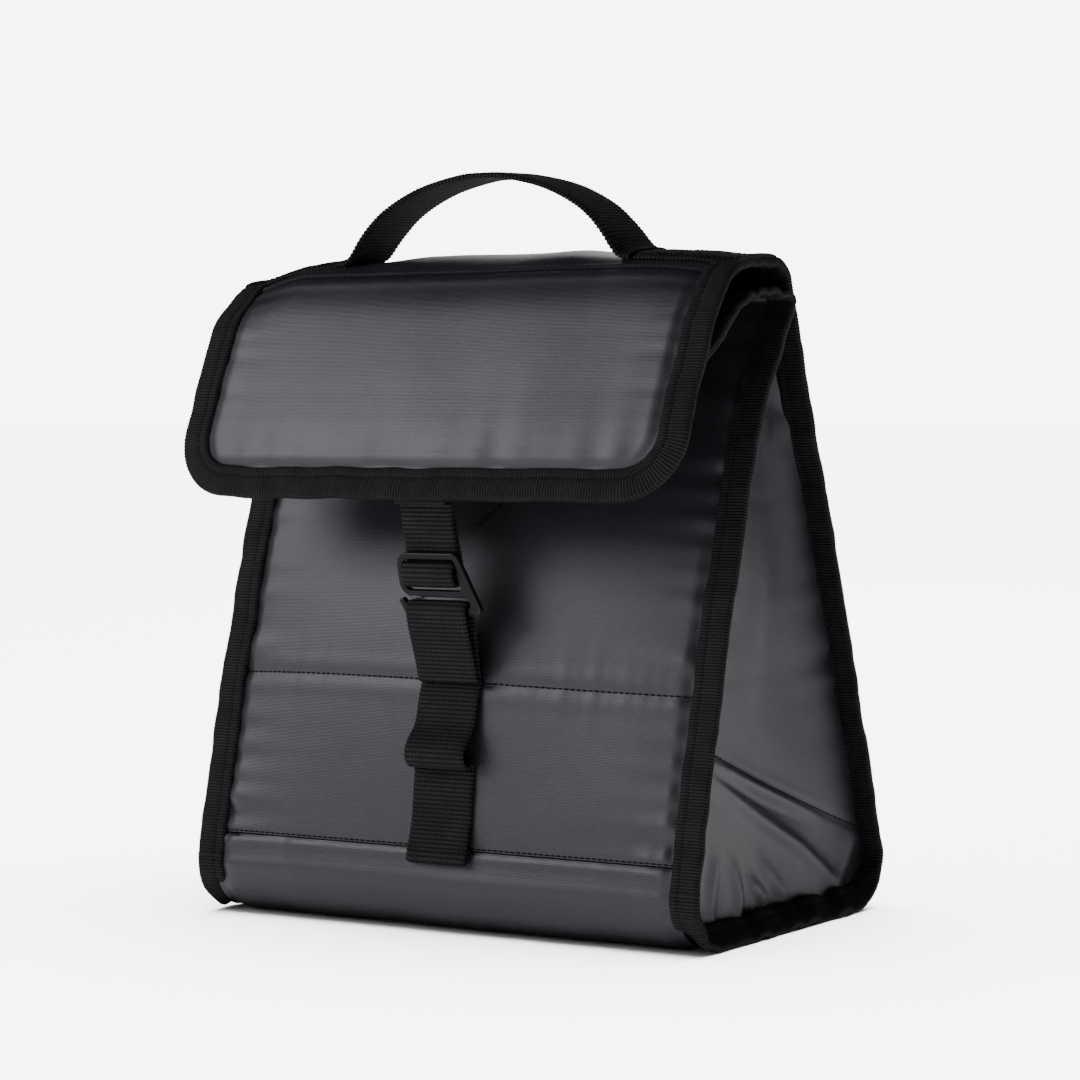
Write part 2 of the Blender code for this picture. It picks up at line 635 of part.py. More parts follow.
def hang_moving_pieces():
    """Puts every moving piece on the empty at its joint's axis."""
    roll = pivot("roll_axis", ROLL_AXIS)
    flap = pivot("flap_axis", FLAP_AXIS, roll)
    handle = pivot("handle_axis", (0.0, HANDLE_Y, HANDLE_FOOT_Z), roll)
    strap = pivot("strap_axis", STRAP_AXIS, flap)
    hook = pivot("hook_axis", HOOK_BAR, strap)
    moving = (
        (roll, ("roll_panel", "roll_foam", "roll_lining", "roll_binding_left", "roll_binding_right",
                "mouth_panel_upper", "mouth_binding_upper_left", "mouth_binding_upper_right",
                "handle_foot_left", "handle_foot_right")),
        (flap, ("flap_panel", "flap_foam", "flap_lining", "flap_binding", "mouth_panel_lower",
                "mouth_binding_lower_left", "mouth_binding_lower_right", "strap_anchor")),
        (handle, ("handle_arch", "handle_leg_left", "handle_leg_right")),
        (strap, ("strap_run", "strap_turn", "strap_tail")),
        (hook, ("g_hook",)),
    )
    for empty, names in moving:
        for name in names:
            hang(bpy.data.objects[name], empty)


hang_moving_pieces()
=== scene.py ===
import math
import bmesh
import bpy
import numpy as np
from mathutils import Matrix, Vector


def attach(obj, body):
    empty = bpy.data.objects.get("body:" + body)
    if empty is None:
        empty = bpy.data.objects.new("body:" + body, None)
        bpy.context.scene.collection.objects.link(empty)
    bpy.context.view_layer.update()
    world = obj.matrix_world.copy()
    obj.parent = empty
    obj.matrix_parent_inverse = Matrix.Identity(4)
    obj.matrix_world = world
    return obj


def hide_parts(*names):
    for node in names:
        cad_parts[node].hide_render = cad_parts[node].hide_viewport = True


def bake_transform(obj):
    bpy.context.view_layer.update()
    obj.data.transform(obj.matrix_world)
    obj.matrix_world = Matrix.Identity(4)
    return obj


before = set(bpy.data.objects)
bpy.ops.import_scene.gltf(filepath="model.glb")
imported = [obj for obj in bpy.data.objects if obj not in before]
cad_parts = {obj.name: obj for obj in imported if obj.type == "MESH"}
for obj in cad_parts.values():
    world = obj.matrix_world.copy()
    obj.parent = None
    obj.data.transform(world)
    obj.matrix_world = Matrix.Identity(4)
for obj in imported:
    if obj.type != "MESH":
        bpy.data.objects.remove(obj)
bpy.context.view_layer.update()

# Frame: origin at the centre of the base, +X right, +Y back, +Z up, metres.

bag = dict(
    halfWidth=0.108,
    baseDepth=0.138,
    baseRadius=0.018,
    frontTop=0.2133,
    seamX=0.1000,        # where the panels disappear under the tape
    tapeInnerX=0.0970,
    shell=0.0010,
    wallFoam=0.0053,
    foamTop=0.172,
    lowerStitch=0.030,
    middleStitch=0.087,
)

# outer face of the roll and the flap, as (y, z) from the back fold to the flap's lower edge
topProfile = [(0.0049, 0.2226), (0.0038, 0.2310), (-0.0030, 0.2358), (-0.0180, 0.2366), (-0.0330, 0.2338),
              (-0.0440, 0.2230), (-0.0520, 0.2080), (-0.0605, 0.1890), (-0.0670, 0.1735), (-0.0733, 0.1540)]
# the front wall's end, folded forward under the roll and the flap
mouthProfile = [(0.0010, 0.2180), (0.0020, 0.2212), (-0.0035, 0.2230), (-0.0140, 0.2236), (-0.0265, 0.2215),
                (-0.0385, 0.2128), (-0.0472, 0.2030), (-0.0523, 0.1955), (-0.0545, 0.1915)]
handleCentre = dict(y=-0.0180, z=0.2382)
closure = dict(x=0.0015, y=-0.0655, z=0.1268, lean=math.radians(12.5))


# maths for sheets and tapes
def ramp(low, high, value):
    t = np.clip((value - low) / (high - low), 0.0, 1.0)
    return t * t * (3.0 - 2.0 * t)


def softNoise(u, v, size, seed):
    # a few plane waves in random directions, about +-1
    rng = np.random.default_rng(seed)
    total = np.zeros(np.broadcast(u, v).shape)
    for k in range(9):
        angle = rng.uniform(0.0, math.pi)
        wave = 2.0 * math.pi / (size * rng.uniform(0.55, 1.6))
        total = total + np.sin(wave * (u * math.cos(angle) + v * math.sin(angle)) + rng.uniform(0.0, 6.28))
    return total / 3.6


def lineNoise(u, size, seed):
    return softNoise(u, np.zeros_like(u), size, seed) * 1.25


def puckers(distance, along, height, size, seed):
    # small gathers that run away from a line of sewing
    spread = 0.45 + 0.55 * (0.5 + 0.5 * lineNoise(along, size * 7.0, seed + 1))
    fade = ramp(-0.0015, 0.0015, distance) * np.exp(-np.maximum(distance, 0.0) / (size * 0.9))
    return height * spread * fade * lineNoise(along, size, seed)


def ridge(y, z, line, width, height):
    # a crease along a line of (y, z) points that fades at both ends
    best = np.full(np.shape(y), 1e9)
    place = np.zeros(np.shape(y))
    lengths = [math.dist(a, b) for a, b in zip(line, line[1:])]
    whole = sum(lengths)
    run = 0.0
    for (a, b), size in zip(zip(line, line[1:]), lengths):
        dy, dz = (b[0] - a[0]) / size, (b[1] - a[1]) / size
        t = np.clip((y - a[0]) * dy + (z - a[1]) * dz, 0.0, size)
        gap = np.hypot(y - a[0] - t * dy, z - a[1] - t * dz)
        nearer = gap < best
        best = np.where(nearer, gap, best)
        place = np.where(nearer, (run + t) / whole, place)
        run += size
    fade = np.sin(np.pi * np.clip(0.06 + 0.88 * place, 0.0, 1.0)) ** 0.7
    return height * fade * np.exp(-(best / width) ** 2)


def smoothCurve(points, steps=10):
    p = np.array(points, float)
    ends = np.vstack([2 * p[0] - p[1], p, 2 * p[-1] - p[-2]])
    made = []
    for i in range(1, len(ends) - 2):
        a, b, c, d = ends[i - 1:i + 3]
        for k in range(steps):
            t = k / steps
            made.append(0.5 * (2 * b + (c - a) * t + (2 * a - 5 * b + 4 * c - d) * t * t
                               + (3 * b - a - 3 * c + d) * t ** 3))
    made.append(p[-1])
    return np.array(made)


def fairCurve(points, reach=0.004, step=0.0004):
    # the smooth curve with its bends evened out, so that light runs over it without bands
    path = resample(smoothCurve(points, 24), step)
    width = reach / step
    kernel = np.exp(-0.5 * (np.arange(-int(3 * width), int(3 * width) + 1) / width) ** 2)
    kernel = kernel / kernel.sum()
    pad = len(kernel) // 2
    before = 2 * path[0] - path[pad:0:-1]
    after = 2 * path[-1] - path[-2:-pad - 2:-1]
    longer = np.vstack([before, path, after])
    return np.stack([np.convolve(longer[:, k], kernel, mode="valid") for k in range(2)], axis=1)


def arcLength(path):
    steps = np.linalg.norm(np.diff(path, axis=0), axis=1)
    return np.concatenate([[0.0], np.cumsum(steps)])


def resample(path, step):
    path = np.array(path, float)
    s = arcLength(path)
    count = max(2, int(round(s[-1] / step)) + 1)
    at = np.linspace(0.0, s[-1], count)
    return np.stack([np.interp(at, s, path[:, k]) for k in range(path.shape[1])], axis=1)


def outwardNormals(path, side):
    # normals of a (y, z) path, on the left of its direction when side is 1
    d = np.gradient(path, axis=0)
    d = d / np.maximum(np.linalg.norm(d, axis=1, keepdims=True), 1e-12)
    return side * np.stack([-d[:, 1], d[:, 0]], axis=1)


def frontY(z):
    lean = -bag["baseDepth"] / 2 + 0.2 * z + 0.44 * z * z
    return lean + 0.0055 * ramp(0.186, 0.2215, z)


def backY(z):
    return bag["baseDepth"] / 2 - 0.262 * z - 0.12 * z * z


def flare(z):
    # the front seam stands out sideways a little near the mouth
    return 0.0016 * ramp(0.165, 0.222, z)


def cornerArc(isFront, steps=16):
    slope = 0.2 if isFront else -0.262
    lean = math.atan(abs(slope))
    radius = bag["baseRadius"]
    reach = radius * (math.tan(lean) + 1.0 / math.cos(lean))
    side = -1.0 if isFront else 1.0
    centre = side * (bag["baseDepth"] / 2 - reach)
    angles = np.linspace(lean, -math.pi / 2, steps)
    return np.stack([centre + side * radius * np.cos(angles), radius + radius * np.sin(angles)], axis=1)


def wallLine(isFront, zLow, zHigh, steps=80):
    z = np.linspace(zLow, zHigh, steps)
    return np.stack([frontY(z) if isFront else backY(z), z], axis=1)


def wrapLine(zFront, zBack):
    # from the front wall down, under the floor and up the back wall
    front = wallLine(True, 0.0215, zFront)[::-1]
    back = wallLine(False, 0.0225, zBack)
    return np.vstack([front, cornerArc(True), cornerArc(False)[::-1], back])


# meshes
def newObject(name, mesh):
    obj = bpy.data.objects.new(name, mesh)
    bpy.context.scene.collection.objects.link(obj)
    return obj


def meshFrom(name, points, faces, uv):
    mesh = bpy.data.meshes.new(name)
    mesh.from_pydata([tuple(p) for p in points], [], faces)
    layer = mesh.attributes.new("clothUv", "FLOAT_VECTOR", "POINT")
    layer.data.foreach_set("vector", np.asarray(uv, np.float32).ravel())
    bm = bmesh.new()
    bm.from_mesh(mesh)
    bmesh.ops.recalc_face_normals(bm, faces=bm.faces)
    bm.to_mesh(mesh)
    bm.free()
    mesh.polygons.foreach_set("use_smooth", [True] * len(mesh.polygons))
    mesh.set_sharp_from_angle(angle=math.radians(55))
    return mesh


def gridFaces(rows, columns, offset, wrapRows=False, wrapColumns=False):
    faces = []
    for i in range(rows if wrapRows else rows - 1):
        for j in range(columns if wrapColumns else columns - 1):
            a, b = i * columns, ((i + 1) % rows) * columns
            k = (j + 1) % columns
            faces.append((offset + a + j, offset + a + k, offset + b + k, offset + b + j))
    return faces


def closedSheet(name, outer, inner, uv):
    # an outer and an inner face of the same grid, joined round the rim
    rows, columns = outer.shape[:2]
    count = rows * columns
    points = np.vstack([outer.reshape(-1, 3), inner.reshape(-1, 3)])
    faces = gridFaces(rows, columns, 0)
    faces += [tuple(reversed(f)) for f in gridFaces(rows, columns, count)]
    rim = [(0, j) for j in range(columns)] + [(i, columns - 1) for i in range(1, rows)]
    rim += [(rows - 1, j) for j in range(columns - 2, -1, -1)] + [(i, 0) for i in range(rows - 2, 0, -1)]
    ids = [i * columns + j for i, j in rim]
    for a, b in zip(ids, ids[1:] + ids[:1]):
        faces.append((b, a, count + a, count + b))
    flatUv = uv.reshape(-1, 3)
    under = flatUv.copy()
    under[:, 2] = -1.0
    return newObject(name, meshFrom(name, points, faces, np.vstack([flatUv, under])))


def profileSheet(name, path, side, xs, lift, thick):
    # a sheet on a (y, z) line: xs, lift and thick are (rows, columns)
    normal = outwardNormals(path, side)
    rows, columns = xs.shape
    outer = np.zeros((rows, columns, 3))
    inner = np.zeros((rows, columns, 3))
    outer[..., 0] = xs
    inner[..., 0] = xs
    for k in range(2):
        outer[..., k + 1] = path[:, k, None] + normal[:, k, None] * lift
        inner[..., k + 1] = path[:, k, None] + normal[:, k, None] * (lift - thick)
    uv = np.zeros((rows, columns, 3))
    uv[..., 0] = xs
    uv[..., 1] = arcLength(path)[:, None]
    uv[..., 2] = 1.0
    return closedSheet(name, outer, inner, uv)


def tapeSection(width, thick, across, groove=None, roundness=5.0):
    u = np.sin(np.linspace(-math.pi / 2, math.pi / 2, across))
    u = u * 0.35 + np.linspace(-1.0, 1.0, across) * 0.65
    h = (1.0 - np.abs(u) ** roundness) ** (1.0 / roundness)
    if groove is not None:
        h = h - 0.30 * np.exp(-((u * width / 2 - groove) / 0.0006) ** 2)
    top = np.stack([u * width / 2, h * thick / 2, np.ones(across)], axis=1)
    low = np.stack([u[::-1] * width / 2, -h[::-1] * thick / 2, -np.ones(across)], axis=1)
    return np.vstack([top, low[1:-1]])


def sweepTape(name, centre, across, normal, width, thick, samples=11, closed=False, groove=None):
    # woven tape along a 3-D line; across and normal are unit vectors at each point
    section = tapeSection(width, thick, samples, groove)
    rows, columns = len(centre), len(section)
    points = (centre[:, None, :] + section[None, :, 0, None] * across[:, None, :]
              + section[None, :, 1, None] * normal[:, None, :])
    s = arcLength(centre)
    uv = np.zeros((rows, columns, 3))
    uv[..., 0] = section[None, :, 0]
    uv[..., 1] = s[:, None]
    uv[..., 2] = section[None, :, 2]
    faces = gridFaces(rows, columns, 0, wrapRows=closed, wrapColumns=True)
    if not closed:
        faces.append(tuple(range(columns)))
        faces.append(tuple((rows - 1) * columns + j for j in reversed(range(columns))))
    return newObject(name, meshFrom(name, points.reshape(-1, 3), faces, uv.reshape(-1, 3)))


def unit(vectors):
    return vectors / np.maximum(np.linalg.norm(vectors, axis=-1, keepdims=True), 1e-12)


# geometry node trees
def node(tree, kind, **sockets):
    made = tree.nodes.new(kind)
    for name, value in sockets.items():
        setattr(made, name, value)
    return made


def calc(tree, operation, first, second=None):
    made = node(tree, "ShaderNodeMath", operation=operation)
    for index, value in enumerate((first, second)):
        if value is None:
            continue
        if isinstance(value, (int, float)):
            made.inputs[index].default_value = value
        else:
            tree.links.new(value, made.inputs[index])
    return made.outputs[0]


def treeWithInputs(name, inputs):
    tree = bpy.data.node_groups.new(name, "GeometryNodeTree")
    tree.interface.new_socket("Geometry", in_out="OUTPUT", socket_type="NodeSocketGeometry")
    tree.interface.new_socket("Geometry", in_out="INPUT", socket_type="NodeSocketGeometry")
    for label, kind in inputs:
        tree.interface.new_socket(label, in_out="INPUT", socket_type=kind)
    return tree, node(tree, "NodeGroupInput"), node(tree, "NodeGroupOutput")


def finishTree(tree, source, groupIn, groupOut):
    real = node(tree, "GeometryNodeRealizeInstances")
    paint = node(tree, "GeometryNodeSetMaterial")
    tree.links.new(source, real.inputs[0])
    tree.links.new(real.outputs[0], paint.inputs["Geometry"])
    tree.links.new(groupIn.outputs["Material"], paint.inputs["Material"])
    tree.links.new(paint.outputs[0], groupOut.inputs[0])


def weaveTree():
    # lifts woven ribs along the normal: rows along the tape, columns across it
    tree, groupIn, groupOut = treeWithInputs("wovenTape", [
        ("Row pitch", "NodeSocketFloat"), ("Column pitch", "NodeSocketFloat"),
        ("Column share", "NodeSocketFloat"), ("Height", "NodeSocketFloat"),
        ("Material", "NodeSocketMaterial")])
    uv = node(tree, "GeometryNodeInputNamedAttribute", data_type="FLOAT_VECTOR")
    uv.inputs["Name"].default_value = "clothUv"
    split = node(tree, "ShaderNodeSeparateXYZ")
    tree.links.new(uv.outputs["Attribute"], split.inputs[0])
    column = calc(tree, "DIVIDE", split.outputs[0], groupIn.outputs["Column pitch"])
    stagger = calc(tree, "MULTIPLY", calc(tree, "FLOORED_MODULO", calc(tree, "FLOOR", column), 2.0), 0.3)
    stagger = calc(tree, "MULTIPLY", stagger, groupIn.outputs["Column share"])
    row = calc(tree, "ADD", calc(tree, "DIVIDE", split.outputs[1], groupIn.outputs["Row pitch"]), stagger)
    rowBump = calc(tree, "ABSOLUTE", calc(tree, "SINE", calc(tree, "MULTIPLY", row, math.pi)))
    columnBump = calc(tree, "ABSOLUTE", calc(tree, "SINE", calc(tree, "MULTIPLY", column, math.pi)))
    flat = calc(tree, "SUBTRACT", 1.0, groupIn.outputs["Column share"])
    shared = calc(tree, "MULTIPLY", columnBump, groupIn.outputs["Column share"])
    columnBump = calc(tree, "ADD", shared, flat)
    bump = calc(tree, "MULTIPLY", calc(tree, "MULTIPLY", rowBump, columnBump), groupIn.outputs["Height"])
    normal = node(tree, "GeometryNodeInputNormal")
    push = node(tree, "ShaderNodeVectorMath", operation="SCALE")
    tree.links.new(normal.outputs[0], push.inputs[0])
    tree.links.new(bump, push.inputs["Scale"])
    move = node(tree, "GeometryNodeSetPosition")
    tree.links.new(groupIn.outputs["Geometry"], move.inputs["Geometry"])
    tree.links.new(push.outputs[0], move.inputs["Offset"])
    finishTree(tree, move.outputs[0], groupIn, groupOut)
    return tree


def stitchTree():
    # thread stitches along a line of edges
    tree, groupIn, groupOut = treeWithInputs("sewnLine", [
        ("Stitch pitch", "NodeSocketFloat"), ("Stitch length", "NodeSocketFloat"),
        ("Thread radius", "NodeSocketFloat"), ("Material", "NodeSocketMaterial")])
    curve = node(tree, "GeometryNodeMeshToCurve")
    even = node(tree, "GeometryNodeResampleCurve", mode="LENGTH")
    tree.links.new(groupIn.outputs["Geometry"], curve.inputs["Mesh"])
    tree.links.new(curve.outputs[0], even.inputs["Curve"])
    tree.links.new(groupIn.outputs["Stitch pitch"], even.inputs["Length"])
    bead = node(tree, "GeometryNodeMeshIcoSphere")
    bead.inputs["Radius"].default_value = 1.0
    bead.inputs["Subdivisions"].default_value = 2
    tangent = node(tree, "GeometryNodeInputTangent")
    turn = node(tree, "FunctionNodeAlignRotationToVector", axis="Z")
    tree.links.new(tangent.outputs[0], turn.inputs["Vector"])
    size = node(tree, "ShaderNodeCombineXYZ")
    tree.links.new(groupIn.outputs["Thread radius"], size.inputs[0])
    tree.links.new(groupIn.outputs["Thread radius"], size.inputs[1])
    tree.links.new(calc(tree, "MULTIPLY", groupIn.outputs["Stitch length"], 0.5), size.inputs[2])
    place = node(tree, "GeometryNodeInstanceOnPoints")
    tree.links.new(even.outputs[0], place.inputs["Points"])
    tree.links.new(bead.outputs["Mesh"], place.inputs["Instance"])
    tree.links.new(turn.outputs[0], place.inputs["Rotation"])
    tree.links.new(size.outputs[0], place.inputs["Scale"])
    finishTree(tree, place.outputs[0], groupIn, groupOut)
    return tree


def applyTree(obj, tree, values):
    # runs the tree once and keeps the plain mesh
    modifier = obj.modifiers.new("tree", "NODES")
    modifier.node_group = tree
    for item in tree.interface.items_tree:
        if item.in_out == "INPUT" and item.name in values:
            modifier[item.identifier] = values[item.name]
    graph = bpy.context.evaluated_depsgraph_get()
    graph.update()
    made = bpy.data.meshes.new_from_object(obj.evaluated_get(graph))
    obj.modifiers.remove(modifier)
    old = obj.data
    obj.data = made
    bpy.data.meshes.remove(old)
    made.polygons.foreach_set("use_smooth", [True] * len(made.polygons))
    return obj


# finishes
def newFinish(name, color, roughness):
    material = bpy.data.materials.new(name)
    material.use_nodes = True
    shader = material.node_tree.nodes["Principled BSDF"]
    shader.inputs["Base Color"].default_value = (*color, 1.0)
    shader.inputs["Roughness"].default_value = roughness
    material.diffuse_color = (*color, 1.0)
    return material, material.node_tree, shader


def mixColors(tree, factor, dark, light):
    mix = node(tree, "ShaderNodeMix", data_type="RGBA")
    tree.links.new(factor, mix.inputs["Factor"])
    mix.inputs[6].default_value = (*dark, 1.0)
    mix.inputs[7].default_value = (*light, 1.0)
    return mix.outputs[2]


def mapRange(tree, value, low, high):
    mapped = node(tree, "ShaderNodeMapRange")
    tree.links.new(value, mapped.inputs["Value"])
    mapped.inputs["To Min"].default_value = low
    mapped.inputs["To Max"].default_value = high
    return mapped.outputs[0]


def noiseOn(tree, vector, scale, detail=3.0):
    noise = node(tree, "ShaderNodeTexNoise")
    noise.inputs["Scale"].default_value = scale
    noise.inputs["Detail"].default_value = detail
    tree.links.new(vector, noise.inputs["Vector"])
    return noise.outputs[0]


def clothCoordinates(tree):
    uv = node(tree, "ShaderNodeAttribute", attribute_name="clothUv")
    split = node(tree, "ShaderNodeSeparateXYZ")
    tree.links.new(uv.outputs["Vector"], split.inputs[0])
    return uv.outputs["Vector"], split.outputs[0], split.outputs[1]


def bumpFrom(tree, shader, height, strength, distance):
    bump = node(tree, "ShaderNodeBump")
    bump.inputs["Strength"].default_value = strength
    bump.inputs["Distance"].default_value = distance
    tree.links.new(height, bump.inputs["Height"])
    tree.links.new(bump.outputs[0], shader.inputs["Normal"])


def wave(tree, value, pitch):
    return calc(tree, "SINE", calc(tree, "MULTIPLY", value, 2.0 * math.pi / pitch))


def coatedFabricFinish():
    look = dict(dark=(0.014, 0.014, 0.018), light=(0.021, 0.021, 0.027), pitch=0.00052)
    material, tree, shader = newFinish("coatedFabric", look["dark"], 0.40)
    cloth, u, v = clothCoordinates(tree)
    coords = node(tree, "ShaderNodeTexCoord").outputs["Object"]
    weave = calc(tree, "ADD", wave(tree, u, look["pitch"]), wave(tree, v, look["pitch"]))
    slub = node(tree, "ShaderNodeMapping")
    slub.inputs["Scale"].default_value = (60.0, 1500.0, 1.0)
    tree.links.new(cloth, slub.inputs["Vector"])
    streak = noiseOn(tree, slub.outputs[0], 1.0, 2.0)
    cloud = noiseOn(tree, coords, 38.0, 4.0)
    grain = noiseOn(tree, coords, 900.0, 2.0)
    tree.links.new(mixColors(tree, cloud, look["dark"], look["light"]), shader.inputs["Base Color"])
    rough = calc(tree, "ADD", mapRange(tree, cloud, 0.29, 0.41), calc(tree, "MULTIPLY", grain, 0.05))
    tree.links.new(rough, shader.inputs["Roughness"])
    height = calc(tree, "ADD", calc(tree, "MULTIPLY", weave, 0.17), calc(tree, "MULTIPLY", streak, 0.30))
    height = calc(tree, "ADD", height, calc(tree, "MULTIPLY", grain, 0.32))
    bumpFrom(tree, shader, height, 0.7, 0.00009)
    shader.inputs["Specular IOR Level"].default_value = 0.70
    shader.inputs["Specular Tint"].default_value = (0.92, 0.92, 1.0, 1.0)
    return material


def tapeFinish(name, dark, light, rows, columns=0.0):
    # rows and columns are the pitches of the woven ribs; the colour is lightest on the rib crests and darkest in the
    # gaps between them, which is painted highlight and painted shade
    material, tree, shader = newFinish(name, dark, 0.75)
    u, v = clothCoordinates(tree)[1:]
    coords = node(tree, "ShaderNodeTexCoord").outputs["Object"]
    fibre = noiseOn(tree, coords, 2600.0, 3.0)
    cloud = noiseOn(tree, coords, 120.0, 3.0)
    row = calc(tree, "DIVIDE", v, rows)
    rib = calc(tree, "ABSOLUTE", calc(tree, "SINE", calc(tree, "MULTIPLY", row, math.pi)))
    if columns:
        column = calc(tree, "DIVIDE", u, columns)
        across = calc(tree, "ABSOLUTE", calc(tree, "SINE", calc(tree, "MULTIPLY", column, math.pi)))
        rib = calc(tree, "MULTIPLY", rib, calc(tree, "ADD", calc(tree, "MULTIPLY", across, 0.35), 0.65))
    else:
        yarn = calc(tree, "ADD", calc(tree, "MULTIPLY", wave(tree, u, 0.00065), 0.18), 0.82)
        rib = calc(tree, "MULTIPLY", rib, yarn)
    # colour mix: painted highlight on the rib crests and painted shade in the gaps, scaled by random tone from the
    # two noises
    share = calc(tree, "MULTIPLY", calc(tree, "POWER", rib, 1.6), calc(tree, "ADD", cloud, 0.25))
    share = calc(tree, "MULTIPLY", share, calc(tree, "ADD", fibre, 0.5))
    tree.links.new(mixColors(tree, share, dark, light), shader.inputs["Base Color"])
    tree.links.new(mapRange(tree, fibre, 0.62, 0.86), shader.inputs["Roughness"])
    height = calc(tree, "ADD", calc(tree, "MULTIPLY", rib, 0.8), fibre)
    bumpFrom(tree, shader, height, 0.7, 0.00013)
    shader.inputs["Specular IOR Level"].default_value = 0.17
    return material


def gunmetalFinish():
    material, tree, shader = newFinish("gunmetal", (0.035, 0.035, 0.038), 0.36)
    coords = node(tree, "ShaderNodeTexCoord").outputs["Object"]
    # the base colour is lighter on sharp convex edges, read from the mesh's pointiness
    edge = node(tree, "ShaderNodeNewGeometry").outputs["Pointiness"]
    edgeLightening = node(tree, "ShaderNodeMapRange")
    tree.links.new(edge, edgeLightening.inputs["Value"])
    edgeLightening.inputs["From Min"].default_value = 0.52
    edgeLightening.inputs["From Max"].default_value = 0.62
    grain = noiseOn(tree, coords, 2200.0, 3.0)
    tree.links.new(mixColors(tree, edgeLightening.outputs[0], (0.016, 0.016, 0.018), (0.12, 0.12, 0.13)),
                   shader.inputs["Base Color"])
    tree.links.new(mapRange(tree, grain, 0.27, 0.42), shader.inputs["Roughness"])
    shader.inputs["Metallic"].default_value = 0.85
    bumpFrom(tree, shader, grain, 0.25, 0.00004)
    return material


def plainGrainFinish(name, dark, light, roughness, scale, metallic=0.0):
    material, tree, shader = newFinish(name, dark, roughness)
    coords = node(tree, "ShaderNodeTexCoord").outputs["Object"]
    grain = noiseOn(tree, coords, scale, 4.0)
    tree.links.new(mixColors(tree, grain, dark, light), shader.inputs["Base Color"])
    tree.links.new(mapRange(tree, grain, roughness - 0.06, roughness + 0.06), shader.inputs["Roughness"])
    shader.inputs["Metallic"].default_value = metallic
    bumpFrom(tree, shader, grain, 0.4, 0.0003)
    return material


fabric = coatedFabricFinish()
# the second colour of each woven finish is the painted highlight on its rib crests; the first is the yarn's black,
# shown in the gaps as painted shade
tapeBlack = tapeFinish("bindingTape", (0.0010, 0.0010, 0.0011), (0.036, 0.036, 0.038), 0.00108)
webbingBlack = tapeFinish("webbingTape", (0.0010, 0.0010, 0.0011), (0.031, 0.031, 0.033), 0.00155, 0.00147)
threadBlack = tapeFinish("thread", (0.002, 0.002, 0.002), (0.012, 0.012, 0.012), 0.00040)
gunmetal = gunmetalFinish()
linerFilm = plainGrainFinish("linerFilm", (0.55, 0.56, 0.58), (0.70, 0.71, 0.73), 0.32, 420.0, 0.35)
foamWhite = plainGrainFinish("paddingFoam", (0.72, 0.72, 0.70), (0.84, 0.84, 0.82), 0.92, 700.0)
boardGrey = plainGrainFinish("baseBoard", (0.06, 0.06, 0.06), (0.11, 0.11, 0.11), 0.55, 300.0)
print("finishes ready")

weaveSizes = dict(bindingPitch=0.00108, bindingHeight=0.00032, rowPitch=0.00155, columnPitch=0.00147,
                  columnShare=0.35, height=0.00044)
wovenTape = weaveTree()
sewnLine = stitchTree()
paint = {"coated_fabric": fabric, "binding_tape": tapeBlack, "webbing": webbingBlack, "liner": linerFilm,
         "foam": foamWhite, "board": boardGrey, "gunmetal": gunmetal, "thread": threadBlack}


endSag = dict(left=0.0062, right=0.0024, reach=0.036, zLow=0.2120, zHigh=0.2340)


def sagEnds(obj):
    # the ends of the roll hang a little lower than its middle
    points = np.empty(len(obj.data.vertices) * 3)
    obj.data.vertices.foreach_get("co", points)
    points = points.reshape(-1, 3)
    if points[:, 2].max() < endSag["zLow"]:
        return
    inner = bag["halfWidth"] - endSag["reach"]
    drop = endSag["left"] * ramp(inner, bag["halfWidth"], -points[:, 0])
    drop = drop + endSag["right"] * ramp(inner, bag["halfWidth"], points[:, 0])
    points[:, 2] -= drop * ramp(endSag["zLow"], endSag["zHigh"], points[:, 2])
    obj.data.vertices.foreach_set("co", points.ravel())
    obj.data.update()


def dress(obj, slotName, body, replaced=()):
    # finish, slot, the CAD nodes it stands for and the body it rides on
    if not obj.data.materials:
        obj.data.materials.append(paint[slotName])
    sagEnds(obj)
    if replaced:
        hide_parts(*replaced)
    if isinstance(body, str):
        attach(obj, body)
    else:
        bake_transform(obj)
    return obj


def wovenBinding(obj):
    values = {"Row pitch": weaveSizes["bindingPitch"], "Column pitch": 0.0016, "Column share": 0.0,
              "Height": weaveSizes["bindingHeight"], "Material": tapeBlack}
    return applyTree(obj, wovenTape, values)


def wovenWebbing(obj):
    values = {"Row pitch": weaveSizes["rowPitch"], "Column pitch": weaveSizes["columnPitch"],
              "Column share": weaveSizes["columnShare"], "Height": weaveSizes["height"],
              "Material": webbingBlack}
    return applyTree(obj, wovenTape, values)


def sewLines(name, lines, body, pitch=0.0024, radius=0.00030):
    # one mesh of stitches for one body; each line is a row of points on the cloth
    points, edges = [], []
    for line in lines:
        first = len(points)
        points += [tuple(p) for p in line]
        edges += [(first + i, first + i + 1) for i in range(len(line) - 1)]
    mesh = bpy.data.meshes.new(name)
    mesh.from_pydata(points, edges, [])
    obj = newObject(name, mesh)
    values = {"Stitch pitch": pitch, "Stitch length": pitch * 0.92, "Thread radius": radius,
              "Material": threadBlack}
    applyTree(obj, sewnLine, values)
    return dress(obj, "thread", body)


blendRoll = ("bag_body", "roll", (0.0, 0.0065, 0.2160), (0.0, 0.0030, 0.2285))
blendMouth = ("bag_body", "roll", (0.0, -0.0040, 0.2134), (0.0, -0.0060, 0.2235))
blendMouthFlap = ("roll", "flap", (0.0, -0.0262, 0.2217), (0.0, -0.0400, 0.2117))
blendFlap = ("roll", "flap", (0.0, -0.0330, 0.2338), (0.0, -0.0418, 0.2292))
blendHandle = ("roll", "handle", (0.0, handleCentre["y"], 0.2395), (0.0, handleCentre["y"], 0.2560))


# front wall
frontWallSizes = dict(columns=150, rows=170, crown=0.0070, edgeDip=0.0011, middleDip=0.00040,
                      middleSwell=0.00020, lowerDip=0.0006, middlePucker=0.00014, lowerPucker=0.00016,
                      sidePucker=0.00085, slack=0.00030)


